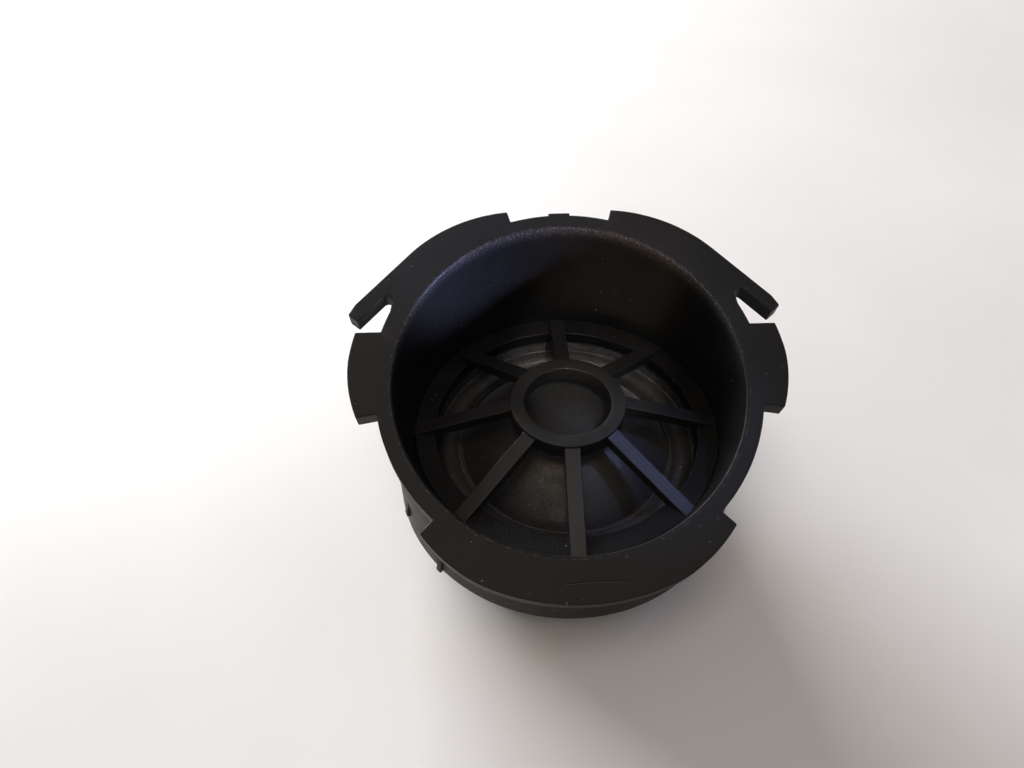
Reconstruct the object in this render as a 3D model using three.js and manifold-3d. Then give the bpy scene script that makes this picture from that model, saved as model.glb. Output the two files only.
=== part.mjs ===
// A car tweeter: a soft-dome driver in an obliquely cut cup with a keyed mounting flange.
// Millimetres, +Z up. The origin is the centre of the flat rear face that the part rests on.
// +Z is the driver's axis, and the cup's mouth rises towards +Y, where the connector is.

import * as THREE from 'three';
import { mergeVertices } from 'three/addons/utils/BufferGeometryUtils.js';
import Module from 'manifold-3d';

const wasm = await Module();
wasm.setup();

// ---- Driving dimensions -------------------------------------------------

const ROUND = 60; // sides of a large round shape
const MEDIUM_ROUND = 40; // sides of the driver's round pieces
const SMALL_ROUND = 16; // sides of a small round shape
const WIRE_SIDES = 6;
const GAP = 0.05; // clearance between neighbours that are seated on each other
const CUT_GAP = 0.3; // clearance where a piece is cut by its neighbour
const LAP = 0.2; // how far the shapes that join into one piece run into each other
const OVERCUT = 1; // how far a cutter runs past the face that it opens

// Driver, from the voice coil outwards
const COIL_R = 12.65;
const COIL_THICK = 0.35;
const COIL_HEIGHT = 2.3;
const COIL_CLEARANCE = 0.35;
const FORMER_THICK = 0.2;
const FORMER_TAIL = 0.4;
const PLATE_CLEARANCE = 0.5;
const PLATE_HEIGHT = 2.5;
const MAGNET_INSET = 0.5;
const MAGNET_HEIGHT = 3.4;
const FELT_INSET = 0.9;
const FELT_HEIGHT = 1;
const YOKE_WALL = 1.65;
const YOKE_FLOOR = 2;
const YOKE_LIP = 0.2;
const YOKE_CHAMFER = 0.4;
const DOME_OVERLAP = 0.15;
const DOME_RISE = 5.3;
const DOME_SHELL = 0.4;
const DOME_LIFT = 0.7;
const ROLL_WIDTH = 2.8;
const ROLL_RISE = 1;
const SURROUND_THICK = 0.3;
const SURROUND_FLANGE = 1.8;
const ROLL_CROWN_THINNING = 0.1;
const CHASSIS_THICK = 2;
const GROOVE_WIDTH = 1;
const GROOVE_DEPTH = 0.6;

// Cup
const SEAT_CLEARANCE = 0.6;
const CUP_WALL = 2.4;
const DRUM_WALL = 1.5;
const DRUM_STRAIGHT = 4.8;
const GASKET_THICK = 2;
const GASKET_TO_ROLL = 0.2;
const GASKET_MARGIN = 0.4;
const LEDGE_THICK = 1.6;
const LEDGE_OVERLAP = 0.1;
const BOWL_FLARE = 2;
const SHOULDER_INSET = 0.5;
const SHOULDER_SINK = 0.1;
const MOUTH_OVERCUT = 4;
const WINDOW_MARGIN = 1.4;

// Guard
const HUB_OUTER_R = 6.7;
const HUB_INNER_R = 5.05;
const HUB_THICK = 2;
const HUB_CLEARANCE = 1;
const SPOKES = 8;
const SPOKE_WIDTH = 1.3;
const SPOKE_DEPTH = 2;
const SPOKE_END_INSET = 0.1;

// Mounting flange, measured in its own tilted plane
const RIM_TILT = THREE.MathUtils.degToRad(19);
const RIM_LIFT = 3.7;
const RING_WIDTH = 1.85;
const FLANGE_THICK = 2.3;
const LUG_ROOT_DEPTH = 1;
const SIDE_LUG = { reach: 3.3, arcEnd: 86, bottom: 99.6, bottomReach: 2.3 };
const BOTTOM_LUG = { end: 135.6, endReach: 2, full: 156, reach: 3, swell: 1.5 };
const UPPER_LUG = { end: 15.8, endReach: 1.5, full: 47, reach: 2.91, swell: 1.75 };
const KEY_TAB = { width: 2.6, reach: 0.3 };

// Snap arms, along the straight outer edge of each upper lug
const ARM_WIDTH = 1.78;
const ARM_ROOT = 6.8;
const ARM_TIP = 10.75;
const ARM_CHAMFER = 1.5;
const ARM_CHAMFER_DEPTH = 0.35;
const ARM_TIP_LEAN = 0.1;
const ARM_TO_LUG = 1.31;
const SLOT_R = 0.7;
const SLOT_FLOOR = 0.45;
const SLOT_BLEND_DEGREES = 2;

// Ramped wedges on the drum
const WEDGE_RISE = 0.45;
const WEDGE_WIDTH = 0.7;
const WEDGE_FOOT = 0.5;
const WEDGE_FACE = 0.5;
const WEDGE_LIFT = 0.2;
const LOW_WEDGE_HEIGHT = 3;
const HIGH_WEDGE_HEIGHT = 3.4;

// Rear cover
const CAN_FLOOR = 1.4;
const CAN_WALL = 1.2;
const CAN_CLEARANCE = 0.4;
const CAN_CHAMFER = 0.6;
const FOAM_THICK = 1.5;
const COVER_PLATE = 1.4;
const WIRE_ROOM = 2.05;
const COVER_SNAPS = 3;
const SNAP_WIDTH = 5;
const SNAP_BARB = 0.7;
const BARB_HEIGHT = 0.9;
const BARB_FOOT = 0.6;
const TONGUE_THICK = 1;
const TONGUE_INSET = 0.1;
const POCKET_SKIN = 0.5;

// Connector
const SOCKET_WIDTH = 11;
const SOCKET_WALL = 1.2;
const SOCKET_DROP = 0.6;
const SOCKET_HEIGHT = 7.5;
const SOCKET_LENGTH = 11.3;
const CAVITY_DEPTH = 5.6;
const CHAMBER_DEPTH = 4.2;
const PIN_PITCH = 4;
const PIN_SIDE = 0.64;
const PIN_REACH = 2.6;
const PIN_TAIL = 1;
const WIRE_R = 0.3;
const TINSEL_R = 0.14;
const CAPACITOR_R = 2.5;
const CAPACITOR_HEIGHT = 10;
const CAPACITOR_LEAD_PITCH = 2;
const CAPACITOR_LEAD_R = 0.25;
const CAPACITOR_SETBACK = 0.5;
const LEAD_HOLE_GAP = 0.15;
const COLLAR_WALL = 0.9;
const COLLAR_HEIGHT = 3;
const COLLAR_SLOT = 2;
const LATCH = { x: 3, width: 2.4, setback: 1.6, length: 1.4, height: 0.8 };
const TAG_X = 2.6;
const TAG_INSET = 1.6;
const TAG_WIDTH = 1.6;
const TAG_THICK = 0.4;
const TAG_FOOT = 1.4;
const TAG_LIFT = 1;
const TAG_SINK = 0.2;

// Wires
const WIRE_STRAIGHT = 1.4;
const WIRE_SAG = 0.6;
const WIRE_DRIFT = 0.2;
const WIRE_LIE = 0.1;
const WIRE_LIFT = 0.4;
const LEAD_BEND = 1;
const TINSEL_SLANT = 0.3;
const TINSEL_TO_COIL = 0.9;

// ---- Sizes that follow from them ----------------------------------------

const FORMER_INNER_R = COIL_R - FORMER_THICK - GAP;
const PLATE_R = FORMER_INNER_R - PLATE_CLEARANCE;
const MAGNET_R = PLATE_R - MAGNET_INSET;
const YOKE_INNER_R = COIL_R + COIL_THICK + COIL_CLEARANCE;
const YOKE_R = YOKE_INNER_R + YOKE_WALL;
const DOME_BASE_R = COIL_R + DOME_OVERLAP;
const ROLL_OUTER_R = DOME_BASE_R + ROLL_WIDTH;
const SURROUND_R = ROLL_OUTER_R + SURROUND_FLANGE;
const LEDGE_INNER_R = ROLL_OUTER_R - LEDGE_OVERLAP;
const BOWL_FLOOR_R = SURROUND_R + SEAT_CLEARANCE;
const DRUM_R = BOWL_FLOOR_R + CUP_WALL;
const BORE_R = DRUM_R - DRUM_WALL;
const RIM_R = BOWL_FLOOR_R + BOWL_FLARE;
const RING_R = RIM_R + RING_WIDTH;
const CAN_INNER_R = YOKE_R + CAN_CLEARANCE;
const CAN_R = CAN_INNER_R + CAN_WALL;

const YOKE_BOTTOM = CAN_FLOOR + FOAM_THICK;
const MAGNET_BOTTOM = YOKE_BOTTOM + YOKE_FLOOR;
const PLATE_BOTTOM = MAGNET_BOTTOM + MAGNET_HEIGHT;
const PLATE_TOP = PLATE_BOTTOM + PLATE_HEIGHT;
const YOKE_TOP = PLATE_TOP + YOKE_LIP;
const DOME_BASE_Z = YOKE_TOP + DOME_LIFT;
const SURROUND_TOP = DOME_BASE_Z + SURROUND_THICK;
const CHASSIS_TOP = DOME_BASE_Z - GAP;
const CHASSIS_BOTTOM = CHASSIS_TOP - CHASSIS_THICK;
const COVER_PLATE_TOP = CHASSIS_BOTTOM - WIRE_ROOM;
const DRUM_BOTTOM = COVER_PLATE_TOP - COVER_PLATE;
const LEDGE_BOTTOM = SURROUND_TOP + GASKET_THICK;
const LEDGE_TOP = LEDGE_BOTTOM + LEDGE_THICK;
const HUB_TOP = DOME_BASE_Z + DOME_RISE + HUB_CLEARANCE + HUB_THICK;
const RIM_CENTRE_Z = HUB_TOP + RIM_LIFT;

const ARM_EDGE_ANGLE = THREE.MathUtils.degToRad(UPPER_LUG.full);
const ARM_OUT = RING_R + UPPER_LUG.reach;
const ARM_IN = ARM_OUT - ARM_WIDTH;
const LUG_ROOT_R = RING_R - LUG_ROOT_DEPTH;

const SOCKET_BOTTOM = DRUM_BOTTOM + SOCKET_DROP;
const SOCKET_TOP = SOCKET_BOTTOM + SOCKET_HEIGHT;
const SOCKET_START_Y = DRUM_R + CUT_GAP;
const SOCKET_END_Y = SOCKET_START_Y + SOCKET_LENGTH;
const CHAMBER_END_Y = SOCKET_START_Y + CHAMBER_DEPTH;
const CAVITY_START_Y = SOCKET_END_Y - CAVITY_DEPTH;
const PIN_Z = (SOCKET_BOTTOM + SOCKET_TOP) / 2;
const PIN_START_Y = CHAMBER_END_Y - PIN_TAIL;
const CAPACITOR_X = -PIN_PITCH / 2;
const CAPACITOR_Y = SOCKET_START_Y + CAPACITOR_R + CAPACITOR_SETBACK;
const CAPACITOR_BOTTOM = SOCKET_TOP + GAP;
const TAG_Y = YOKE_R + TAG_INSET;
const TAG_BOTTOM = COVER_PLATE_TOP + TAG_LIFT;

// ---- Solids -------------------------------------------------------------

// The manifold solid of a closed geometry.
function solid(geometry) {
  const bare = geometry.index ? geometry.toNonIndexed() : geometry.clone();
  bare.deleteAttribute('normal');
  bare.deleteAttribute('uv');
  const merged = mergeVertices(bare, 1e-4);
  const mesh = new wasm.Mesh({
    numProp: 3,
    vertProperties: new Float32Array(merged.attributes.position.array),
    triVerts: new Uint32Array(merged.index.array),
  });
  return new wasm.Manifold(mesh);
}

function geometryOf(manifold) {
  const mesh = manifold.getMesh();
  const geometry = new THREE.BufferGeometry();
  geometry.setAttribute('position', new THREE.BufferAttribute(new Float32Array(mesh.vertProperties), 3));
  geometry.setIndex(new THREE.BufferAttribute(new Uint32Array(mesh.triVerts), 1));
  return geometry;
}

function join(first, ...others) {
  return others.reduce((sum, other) => sum.add(other), first);
}

function cut(first, ...others) {
  return others.reduce((rest, other) => rest.subtract(other), first);
}

// A solid turned about Z. Its profile is [radius, height] pairs that close on themselves.
function turned(profile, segments = ROUND) {
  const points = profile.map(([r, z]) => new THREE.Vector2(r, z));
  points.push(points[0].clone());
  const geometry = new THREE.LatheGeometry(points, segments);
  geometry.rotateX(Math.PI / 2);
  const made = solid(geometry);
  return made.volume() < 0 ? solid(flipped(geometry)) : made;
}

function flipped(geometry) {
  const copy = geometry.index ? geometry.toNonIndexed() : geometry.clone();
  const position = copy.attributes.position;
  const second = new THREE.Vector3();
  const third = new THREE.Vector3();
  for (let i = 0; i < position.count; i += 3) {
    second.fromBufferAttribute(position, i + 1);
    third.fromBufferAttribute(position, i + 2);
    position.setXYZ(i + 1, third.x, third.y, third.z);
    position.setXYZ(i + 2, second.x, second.y, second.z);
  }
  return copy;
}

function ring(innerR, outerR, bottom, top, segments = ROUND) {
  return turned([[innerR, bottom], [outerR, bottom], [outerR, top], [innerR, top]], segments);
}

function disc(radius, bottom, top, x = 0, y = 0, segments = ROUND) {
  const geometry = new THREE.CylinderGeometry(radius, radius, top - bottom, segments);
  geometry.rotateX(Math.PI / 2);
  geometry.translate(x, y, (bottom + top) / 2);
  return solid(geometry);
}

function block([x0, x1], [y0, y1], [z0, z1]) {
  const geometry = new THREE.BoxGeometry(x1 - x0, y1 - y0, z1 - z0);
  geometry.translate((x0 + x1) / 2, (y0 + y1) / 2, (z0 + z1) / 2);
  return solid(geometry);
}

// A closed solid skinned through stacked loops of points that all have the same count.
function skinned(loops) {
  const count = loops[0].length;
  const vertices = loops.flat();
  const faces = [];
  for (let level = 0; level + 1 < loops.length; level += 1) {
    for (let i = 0; i < count; i += 1) {
      const a = level * count + i;
      const b = level * count + ((i + 1) % count);
      faces.push([a, b, b + count], [a, b + count, a + count]);
    }
  }
  const top = (loops.length - 1) * count;
  for (let i = 1; i + 1 < count; i += 1) {
    faces.push([0, i + 1, i], [top, top + i, top + i + 1]);
  }
  const corners = faces.flat().flatMap((index) => vertices[index].toArray());
  const geometry = new THREE.BufferGeometry();
  geometry.setAttribute('position', new THREE.Float32BufferAttribute(corners, 3));
  return solid(geometry);
}

function levelLoop(radius, z) {
  return Array.from({ length: ROUND }, (_, i) => {
    const angle = (i / ROUND) * 2 * Math.PI;
    return new THREE.Vector3(radius * Math.cos(angle), radius * Math.sin(angle), z);
  });
}

// ---- The flange's tilted plane ------------------------------------------

const rimMatrix = new THREE.Matrix4()
  .makeTranslation(0, 0, RIM_CENTRE_Z)
  .multiply(new THREE.Matrix4().makeRotationX(RIM_TILT));

// A circle in the flange's plane, below its front face by depth.
function rimLoop(radius, depth) {
  return levelLoop(radius, -depth).map((point) => point.applyMatrix4(rimMatrix));
}

// A point of the flange's outline: the angle is measured from the uphill axis, and side is 1 or -1.
function outlinePoint(radius, degrees, side) {
  const angle = THREE.MathUtils.degToRad(degrees);
  return new THREE.Vector2(side * radius * Math.sin(angle), radius * Math.cos(angle));
}

function outlineArc(radius, from, to, steps, side) {
  return Array.from({ length: steps + 1 }, (_, i) => (
    outlinePoint(radius, from + ((to - from) * i) / steps, side)));
}

// A plate of the flange's thickness with the given outline.
function plate(points) {
  const shape = new THREE.Shape(points);
  const geometry = new THREE.ExtrudeGeometry(shape, { depth: FLANGE_THICK, bevelEnabled: false });
  geometry.translate(0, 0, -FLANGE_THICK);
  geometry.applyMatrix4(rimMatrix);
  return solid(geometry);
}

// Along is measured down the arm's edge line from the foot of its normal, and out from the centre.
function armPoint(along, out, side) {
  const x = out * Math.sin(ARM_EDGE_ANGLE) + along * Math.cos(ARM_EDGE_ANGLE);
  const v = out * Math.cos(ARM_EDGE_ANGLE) - along * Math.sin(ARM_EDGE_ANGLE);
  return new THREE.Vector2(side * x, v);
}

// ---- Housing ------------------------------------------------------------

// The side lug's top edge is level, and clears the snap arm's tip.
const SIDE_LUG_TOP_V = armPoint(ARM_TIP, ARM_IN, 1).y - ARM_TO_LUG;
const SLOT_FLOOR_R = RING_R + SLOT_FLOOR;

function degreesAt(radius, v) {
  return THREE.MathUtils.radToDeg(Math.acos(v / radius));
}

// A lug's edge swells smoothly from its end to its full reach.
function swellingEdge(lug, steps, side) {
  return Array.from({ length: steps + 1 }, (_, i) => {
    const share = 1 - i / steps;
    const reach = lug.reach - (lug.reach - lug.endReach) * share ** lug.swell;
    return outlinePoint(RING_R + reach, lug.full + (lug.end - lug.full) * share, side);
  });
}

function sideLug(side) {
  const topInner = new THREE.Vector2(side * Math.sqrt(LUG_ROOT_R ** 2 - SIDE_LUG_TOP_V ** 2), SIDE_LUG_TOP_V);
  const outerR = RING_R + SIDE_LUG.reach;
  const outer = outlineArc(outerR, degreesAt(outerR, SIDE_LUG_TOP_V), SIDE_LUG.arcEnd, 3, side);
  return plate([
    topInner,
    ...outer,
    outlinePoint(RING_R + SIDE_LUG.bottomReach, SIDE_LUG.bottom, side),
    outlinePoint(LUG_ROOT_R, SIDE_LUG.bottom, side),
    outlinePoint(LUG_ROOT_R, SIDE_LUG.arcEnd, side),
  ]);
}

function bottomLug() {
  const edge = (side) => [
    outlinePoint(LUG_ROOT_R, BOTTOM_LUG.end, side),
    ...swellingEdge(BOTTOM_LUG, 5, side),
    ...outlineArc(RING_R + BOTTOM_LUG.reach, BOTTOM_LUG.full, 180, 6, side).slice(1),
  ];
  const right = edge(1);
  const left = edge(-1).reverse().slice(1);
  const inner = outlineArc(LUG_ROOT_R, BOTTOM_LUG.end, 360 - BOTTOM_LUG.end, 12, -1).slice(1, -1);
  return plate([...right, ...left, ...inner]);
}

// The upper lug ends where the snap arm begins, in a slot with a round end behind the arm.
function upperLug(side) {
  const root = ARM_ROOT - CUT_GAP;
  const slotFoot = armPoint(root, ARM_IN - 2 * SLOT_R, 1);
  const slotStart = degreesAt(slotFoot.length(), slotFoot.y) + SLOT_BLEND_DEGREES;
  const slotStop = degreesAt(SLOT_FLOOR_R, SIDE_LUG_TOP_V);
  const slotSteps = 6;
  const slotEnd = Array.from({ length: slotSteps + 1 }, (_, i) => {
    const angle = (i / slotSteps) * Math.PI;
    return armPoint(root - SLOT_R * Math.sin(angle), ARM_IN - SLOT_R + SLOT_R * Math.cos(angle), side);
  });
  return plate([
    outlinePoint(LUG_ROOT_R, UPPER_LUG.end, side),
    ...swellingEdge(UPPER_LUG, 6, side),
    armPoint(root, ARM_OUT, side),
    armPoint(root, ARM_IN, side),
    ...slotEnd.slice(1),
    ...outlineArc(SLOT_FLOOR_R, slotStart, slotStop, 3, side),
    outlinePoint(LUG_ROOT_R, slotStop, side),
    outlinePoint(LUG_ROOT_R, UPPER_LUG.full, side),
  ]);
}

function keyTab() {
  const half = KEY_TAB.width / 2;
  return plate([
    new THREE.Vector2(-half, LUG_ROOT_R),
    new THREE.Vector2(-half, RING_R + KEY_TAB.reach),
    new THREE.Vector2(half, RING_R + KEY_TAB.reach),
    new THREE.Vector2(half, LUG_ROOT_R),
  ]);
}

// Each wedge catches in the panel's sleeve. The pairs stand opposite each other.
const HIGH_WEDGE_BOTTOM = DRUM_BOTTOM + HIGH_WEDGE_HEIGHT;
const WEDGES = [
  { azimuth: 222, bottom: DRUM_BOTTOM + WEDGE_LIFT, height: LOW_WEDGE_HEIGHT },
  { azimuth: 203, bottom: HIGH_WEDGE_BOTTOM, height: HIGH_WEDGE_HEIGHT },
  { azimuth: 42, bottom: DRUM_BOTTOM + WEDGE_LIFT, height: LOW_WEDGE_HEIGHT },
  { azimuth: 23, bottom: HIGH_WEDGE_BOTTOM, height: HIGH_WEDGE_HEIGHT },
];

function wedge({ azimuth, bottom, height }) {
  const foot = DRUM_R - WEDGE_FOOT;
  const shape = new THREE.Shape([
    new THREE.Vector2(foot, bottom),
    new THREE.Vector2(DRUM_R + WEDGE_RISE, bottom),
    new THREE.Vector2(DRUM_R + WEDGE_RISE, bottom + WEDGE_FACE),
    new THREE.Vector2(foot, bottom + height),
  ]);
  const geometry = new THREE.ExtrudeGeometry(shape, { depth: WEDGE_WIDTH, bevelEnabled: false });
  geometry.translate(0, 0, -WEDGE_WIDTH / 2);
  geometry.rotateX(Math.PI / 2);
  geometry.rotateZ(THREE.MathUtils.degToRad(azimuth));
  return solid(geometry);
}

const WINDOW_HALF = PIN_PITCH / 2 + WINDOW_MARGIN;

function frontHousing() {
  const outside = skinned([
    levelLoop(DRUM_R, DRUM_BOTTOM),
    levelLoop(DRUM_R, DRUM_BOTTOM + DRUM_STRAIGHT),
    rimLoop(RING_R - SHOULDER_INSET, FLANGE_THICK - SHOULDER_SINK),
  ]);
  const flangeRing = skinned([rimLoop(RING_R, FLANGE_THICK), rimLoop(RING_R, 0)]);
  const bowl = skinned([
    levelLoop(BOWL_FLOOR_R, LEDGE_BOTTOM),
    levelLoop(BOWL_FLOOR_R, LEDGE_TOP),
    rimLoop(RIM_R, 0),
    rimLoop(RIM_R, -MOUTH_OVERCUT),
  ]);
  const bore = disc(BORE_R, DRUM_BOTTOM - OVERCUT, LEDGE_BOTTOM);
  const wireWindow = block(
    [-WINDOW_HALF, WINDOW_HALF],
    [BORE_R - DRUM_WALL, DRUM_R + OVERCUT],
    [COVER_PLATE_TOP + LAP, CHASSIS_BOTTOM - LAP],
  );
  const lugs = [1, -1].flatMap((side) => [sideLug(side), upperLug(side)]);
  const whole = join(outside, flangeRing, bottomLug(), keyTab(), ...lugs, ...WEDGES.map(wedge));
  return cut(whole, bowl, bore, wireWindow, ...snapPockets());
}

function snapArm(side) {
  return plate([
    armPoint(ARM_ROOT, ARM_OUT, side),
    armPoint(ARM_TIP - ARM_CHAMFER, ARM_OUT, side),
    armPoint(ARM_TIP, ARM_OUT - ARM_CHAMFER_DEPTH, side),
    armPoint(ARM_TIP - ARM_TIP_LEAN, ARM_IN, side),
    armPoint(ARM_ROOT, ARM_IN, side),
  ]);
}

// ---- Guard --------------------------------------------------------------

function guardGrille() {
  const ledge = ring(LEDGE_INNER_R, BOWL_FLOOR_R - GAP, LEDGE_BOTTOM, LEDGE_TOP);
  const hub = ring(HUB_INNER_R, HUB_OUTER_R, HUB_TOP - HUB_THICK, HUB_TOP, MEDIUM_ROUND);
  const spokes = Array.from({ length: SPOKES }, (_, i) => spoke((i / SPOKES) * 2 * Math.PI));
  return join(ledge, hub, ...spokes);
}

// A spoke runs straight down from the hub's edge to the ledge's outer edge.
function spoke(angle) {
  const start = (HUB_INNER_R + HUB_OUTER_R) / 2;
  const end = BOWL_FLOOR_R - GAP - SPOKE_END_INSET;
  const shape = new THREE.Shape([
    new THREE.Vector2(start, HUB_TOP - HUB_THICK),
    new THREE.Vector2(HUB_OUTER_R, HUB_TOP - SPOKE_DEPTH),
    new THREE.Vector2(end, LEDGE_BOTTOM + SPOKE_END_INSET),
    new THREE.Vector2(end, LEDGE_TOP - SPOKE_END_INSET / 2),
    new THREE.Vector2(HUB_OUTER_R, HUB_TOP),
    new THREE.Vector2(start, HUB_TOP),
  ]);
  const geometry = new THREE.ExtrudeGeometry(shape, { depth: SPOKE_WIDTH, bevelEnabled: false });
  geometry.translate(0, 0, -SPOKE_WIDTH / 2);
  geometry.rotateX(Math.PI / 2);
  geometry.rotateZ(angle);
  return solid(geometry);
}

// ---- Driver -------------------------------------------------------------

// The height of a spherical cap of the given base radius and rise, at radius r.
function capHeight(r, baseR, rise) {
  const sphereR = (baseR ** 2 + rise ** 2) / (2 * rise);
  return rise - sphereR + Math.sqrt(sphereR ** 2 - r ** 2);
}

function dome() {
  const steps = 7;
  const outer = [];
  const inner = [];
  const innerR = DOME_BASE_R - DOME_SHELL;
  for (let i = 0; i <= steps; i += 1) {
    const share = i / steps;
    outer.push([DOME_BASE_R * (1 - share), DOME_BASE_Z + capHeight(DOME_BASE_R * (1 - share), DOME_BASE_R, DOME_RISE)]);
    inner.push([innerR * share, DOME_BASE_Z + capHeight(innerR * share, innerR, DOME_RISE - DOME_SHELL)]);
  }
  return turned([...outer, ...inner], MEDIUM_ROUND);
}

// The half-roll surround, with its glued flange outside the roll.
function surround() {
  const innerR = DOME_BASE_R + GAP;
  const middle = (innerR + ROLL_OUTER_R) / 2;
  const half = (ROLL_OUTER_R - innerR) / 2;
  const steps = 6;
  const top = [];
  const under = [];
  for (let i = 0; i <= steps; i += 1) {
    const angle = Math.PI * (1 - i / steps);
    top.push([middle + half * Math.cos(angle), SURROUND_TOP + ROLL_RISE * Math.sin(angle)]);
    const slim = half - SURROUND_THICK;
    under.unshift([middle + slim * Math.cos(angle), DOME_BASE_Z + (ROLL_RISE - ROLL_CROWN_THINNING) * Math.sin(angle)]);
  }
  return turned([
    [innerR, DOME_BASE_Z],
    ...top,
    [SURROUND_R, SURROUND_TOP],
    [SURROUND_R, DOME_BASE_Z],
    ...under,
  ]);
}

function coilFormer() {
  const bottom = (PLATE_BOTTOM + PLATE_TOP - COIL_HEIGHT) / 2 - FORMER_TAIL;
  return ring(FORMER_INNER_R, FORMER_INNER_R + FORMER_THICK, bottom, DOME_BASE_Z - GAP, MEDIUM_ROUND);
}

function voiceCoil() {
  const middle = PLATE_BOTTOM + PLATE_HEIGHT / 2;
  return ring(COIL_R, COIL_R + COIL_THICK, middle - COIL_HEIGHT / 2, middle + COIL_HEIGHT / 2, MEDIUM_ROUND);
}

function yokeCup() {
  return turned([
    [0, YOKE_BOTTOM],
    [YOKE_R - YOKE_CHAMFER, YOKE_BOTTOM],
    [YOKE_R, YOKE_BOTTOM + YOKE_CHAMFER],
    [YOKE_R, YOKE_TOP],
    [YOKE_INNER_R, YOKE_TOP],
    [YOKE_INNER_R, MAGNET_BOTTOM],
    [0, MAGNET_BOTTOM],
  ], MEDIUM_ROUND);
}

function solderTag(side) {
  const stem = block(
    [side * TAG_X - TAG_WIDTH / 2, side * TAG_X + TAG_WIDTH / 2],
    [TAG_Y, TAG_Y + TAG_THICK],
    [TAG_BOTTOM, CHASSIS_TOP - TAG_SINK],
  );
  const foot = block(
    [side * TAG_X - TAG_WIDTH / 2, side * TAG_X + TAG_WIDTH / 2],
    [TAG_Y, TAG_Y + TAG_FOOT],
    [TAG_BOTTOM, TAG_BOTTOM + TAG_THICK],
  );
  return join(stem, foot);
}

function chassisRing() {
  const body = ring(YOKE_R + GAP, BORE_R - 2 * GAP, CHASSIS_BOTTOM, CHASSIS_TOP);
  const slots = [1, -1].map((side) => block(
    [side * TAG_X - TAG_WIDTH / 2 - GAP, side * TAG_X + TAG_WIDTH / 2 + GAP],
    [TAG_Y - GAP, TAG_Y + TAG_THICK + GAP],
    [CHASSIS_BOTTOM - OVERCUT, CHASSIS_TOP + OVERCUT],
  ));
  const grooves = [1, -1].map((side) => block(
    [side * TAG_X - GROOVE_WIDTH / 2, side * TAG_X + GROOVE_WIDTH / 2],
    [YOKE_R - 2 * OVERCUT, TAG_Y],
    [CHASSIS_TOP - GROOVE_DEPTH, CHASSIS_TOP + OVERCUT],
  ));
  return cut(body, ...slots, ...grooves);
}

// ---- Wires --------------------------------------------------------------

function wire(points, radius) {
  const path = new THREE.CatmullRomCurve3(points.map((point) => new THREE.Vector3(...point)), false, 'centripetal');
  const section = new THREE.Shape(Array.from({ length: WIRE_SIDES }, (_, i) => {
    const angle = (i / WIRE_SIDES) * 2 * Math.PI;
    return new THREE.Vector2(radius * Math.cos(angle), radius * Math.sin(angle));
  }));
  const geometry = new THREE.ExtrudeGeometry(section, { steps: 9, extrudePath: path, bevelEnabled: false });
  const made = solid(geometry);
  return made.volume() < 0 ? solid(flipped(geometry)) : made;
}

// The tinsel lead lies in the chassis groove and stops short of the moving coil former.
function tinselLead(side) {
  const z = CHASSIS_TOP - TAG_SINK;
  return wire([
    [side * (TAG_X - TINSEL_SLANT), COIL_R + COIL_THICK + TINSEL_TO_COIL, z],
    [side * TAG_X, (YOKE_R + COIL_R) / 2 + 2 * TINSEL_SLANT, z],
    [side * TAG_X, TAG_Y - GAP, z],
  ], TINSEL_R);
}

function leadWireNegative() {
  const x = PIN_PITCH / 2;
  return wire([
    [x, PIN_START_Y - GAP, PIN_Z],
    [x, PIN_START_Y - WIRE_STRAIGHT, PIN_Z - WIRE_SAG],
    [x + WIRE_DRIFT, DRUM_R, TAG_BOTTOM + WIRE_LIE],
    [TAG_X, TAG_Y + TAG_FOOT + GAP, TAG_BOTTOM + TAG_THICK / 2],
  ], WIRE_R);
}

function capacitorLeads() {
  const innerY = CAPACITOR_Y - CAPACITOR_LEAD_PITCH / 2;
  const outerY = CAPACITOR_Y + CAPACITOR_LEAD_PITCH / 2;
  const toPin = wire([
    [CAPACITOR_X, outerY, CAPACITOR_BOTTOM - GAP],
    [CAPACITOR_X, outerY, PIN_Z + PIN_SIDE / 2 + GAP],
  ], CAPACITOR_LEAD_R);
  const toTag = wire([
    [CAPACITOR_X, innerY, CAPACITOR_BOTTOM - GAP],
    [CAPACITOR_X, innerY, PIN_Z],
    [CAPACITOR_X - WIRE_DRIFT, innerY - LEAD_BEND, TAG_BOTTOM + WIRE_LIFT],
    [-TAG_X, DRUM_R - LEAD_BEND, TAG_BOTTOM + WIRE_LIE],
    [-TAG_X, TAG_Y + TAG_FOOT + GAP, TAG_BOTTOM + TAG_THICK / 2],
  ], CAPACITOR_LEAD_R);
  return { toPin, toTag };
}

// ---- Connector ----------------------------------------------------------

function pinBlock(side, grow = 0) {
  const half = PIN_SIDE / 2 + grow;
  const x = (side * PIN_PITCH) / 2;
  return block([x - half, x + half], [PIN_START_Y, CAVITY_START_Y + PIN_REACH], [PIN_Z - half, PIN_Z + half]);
}

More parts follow.
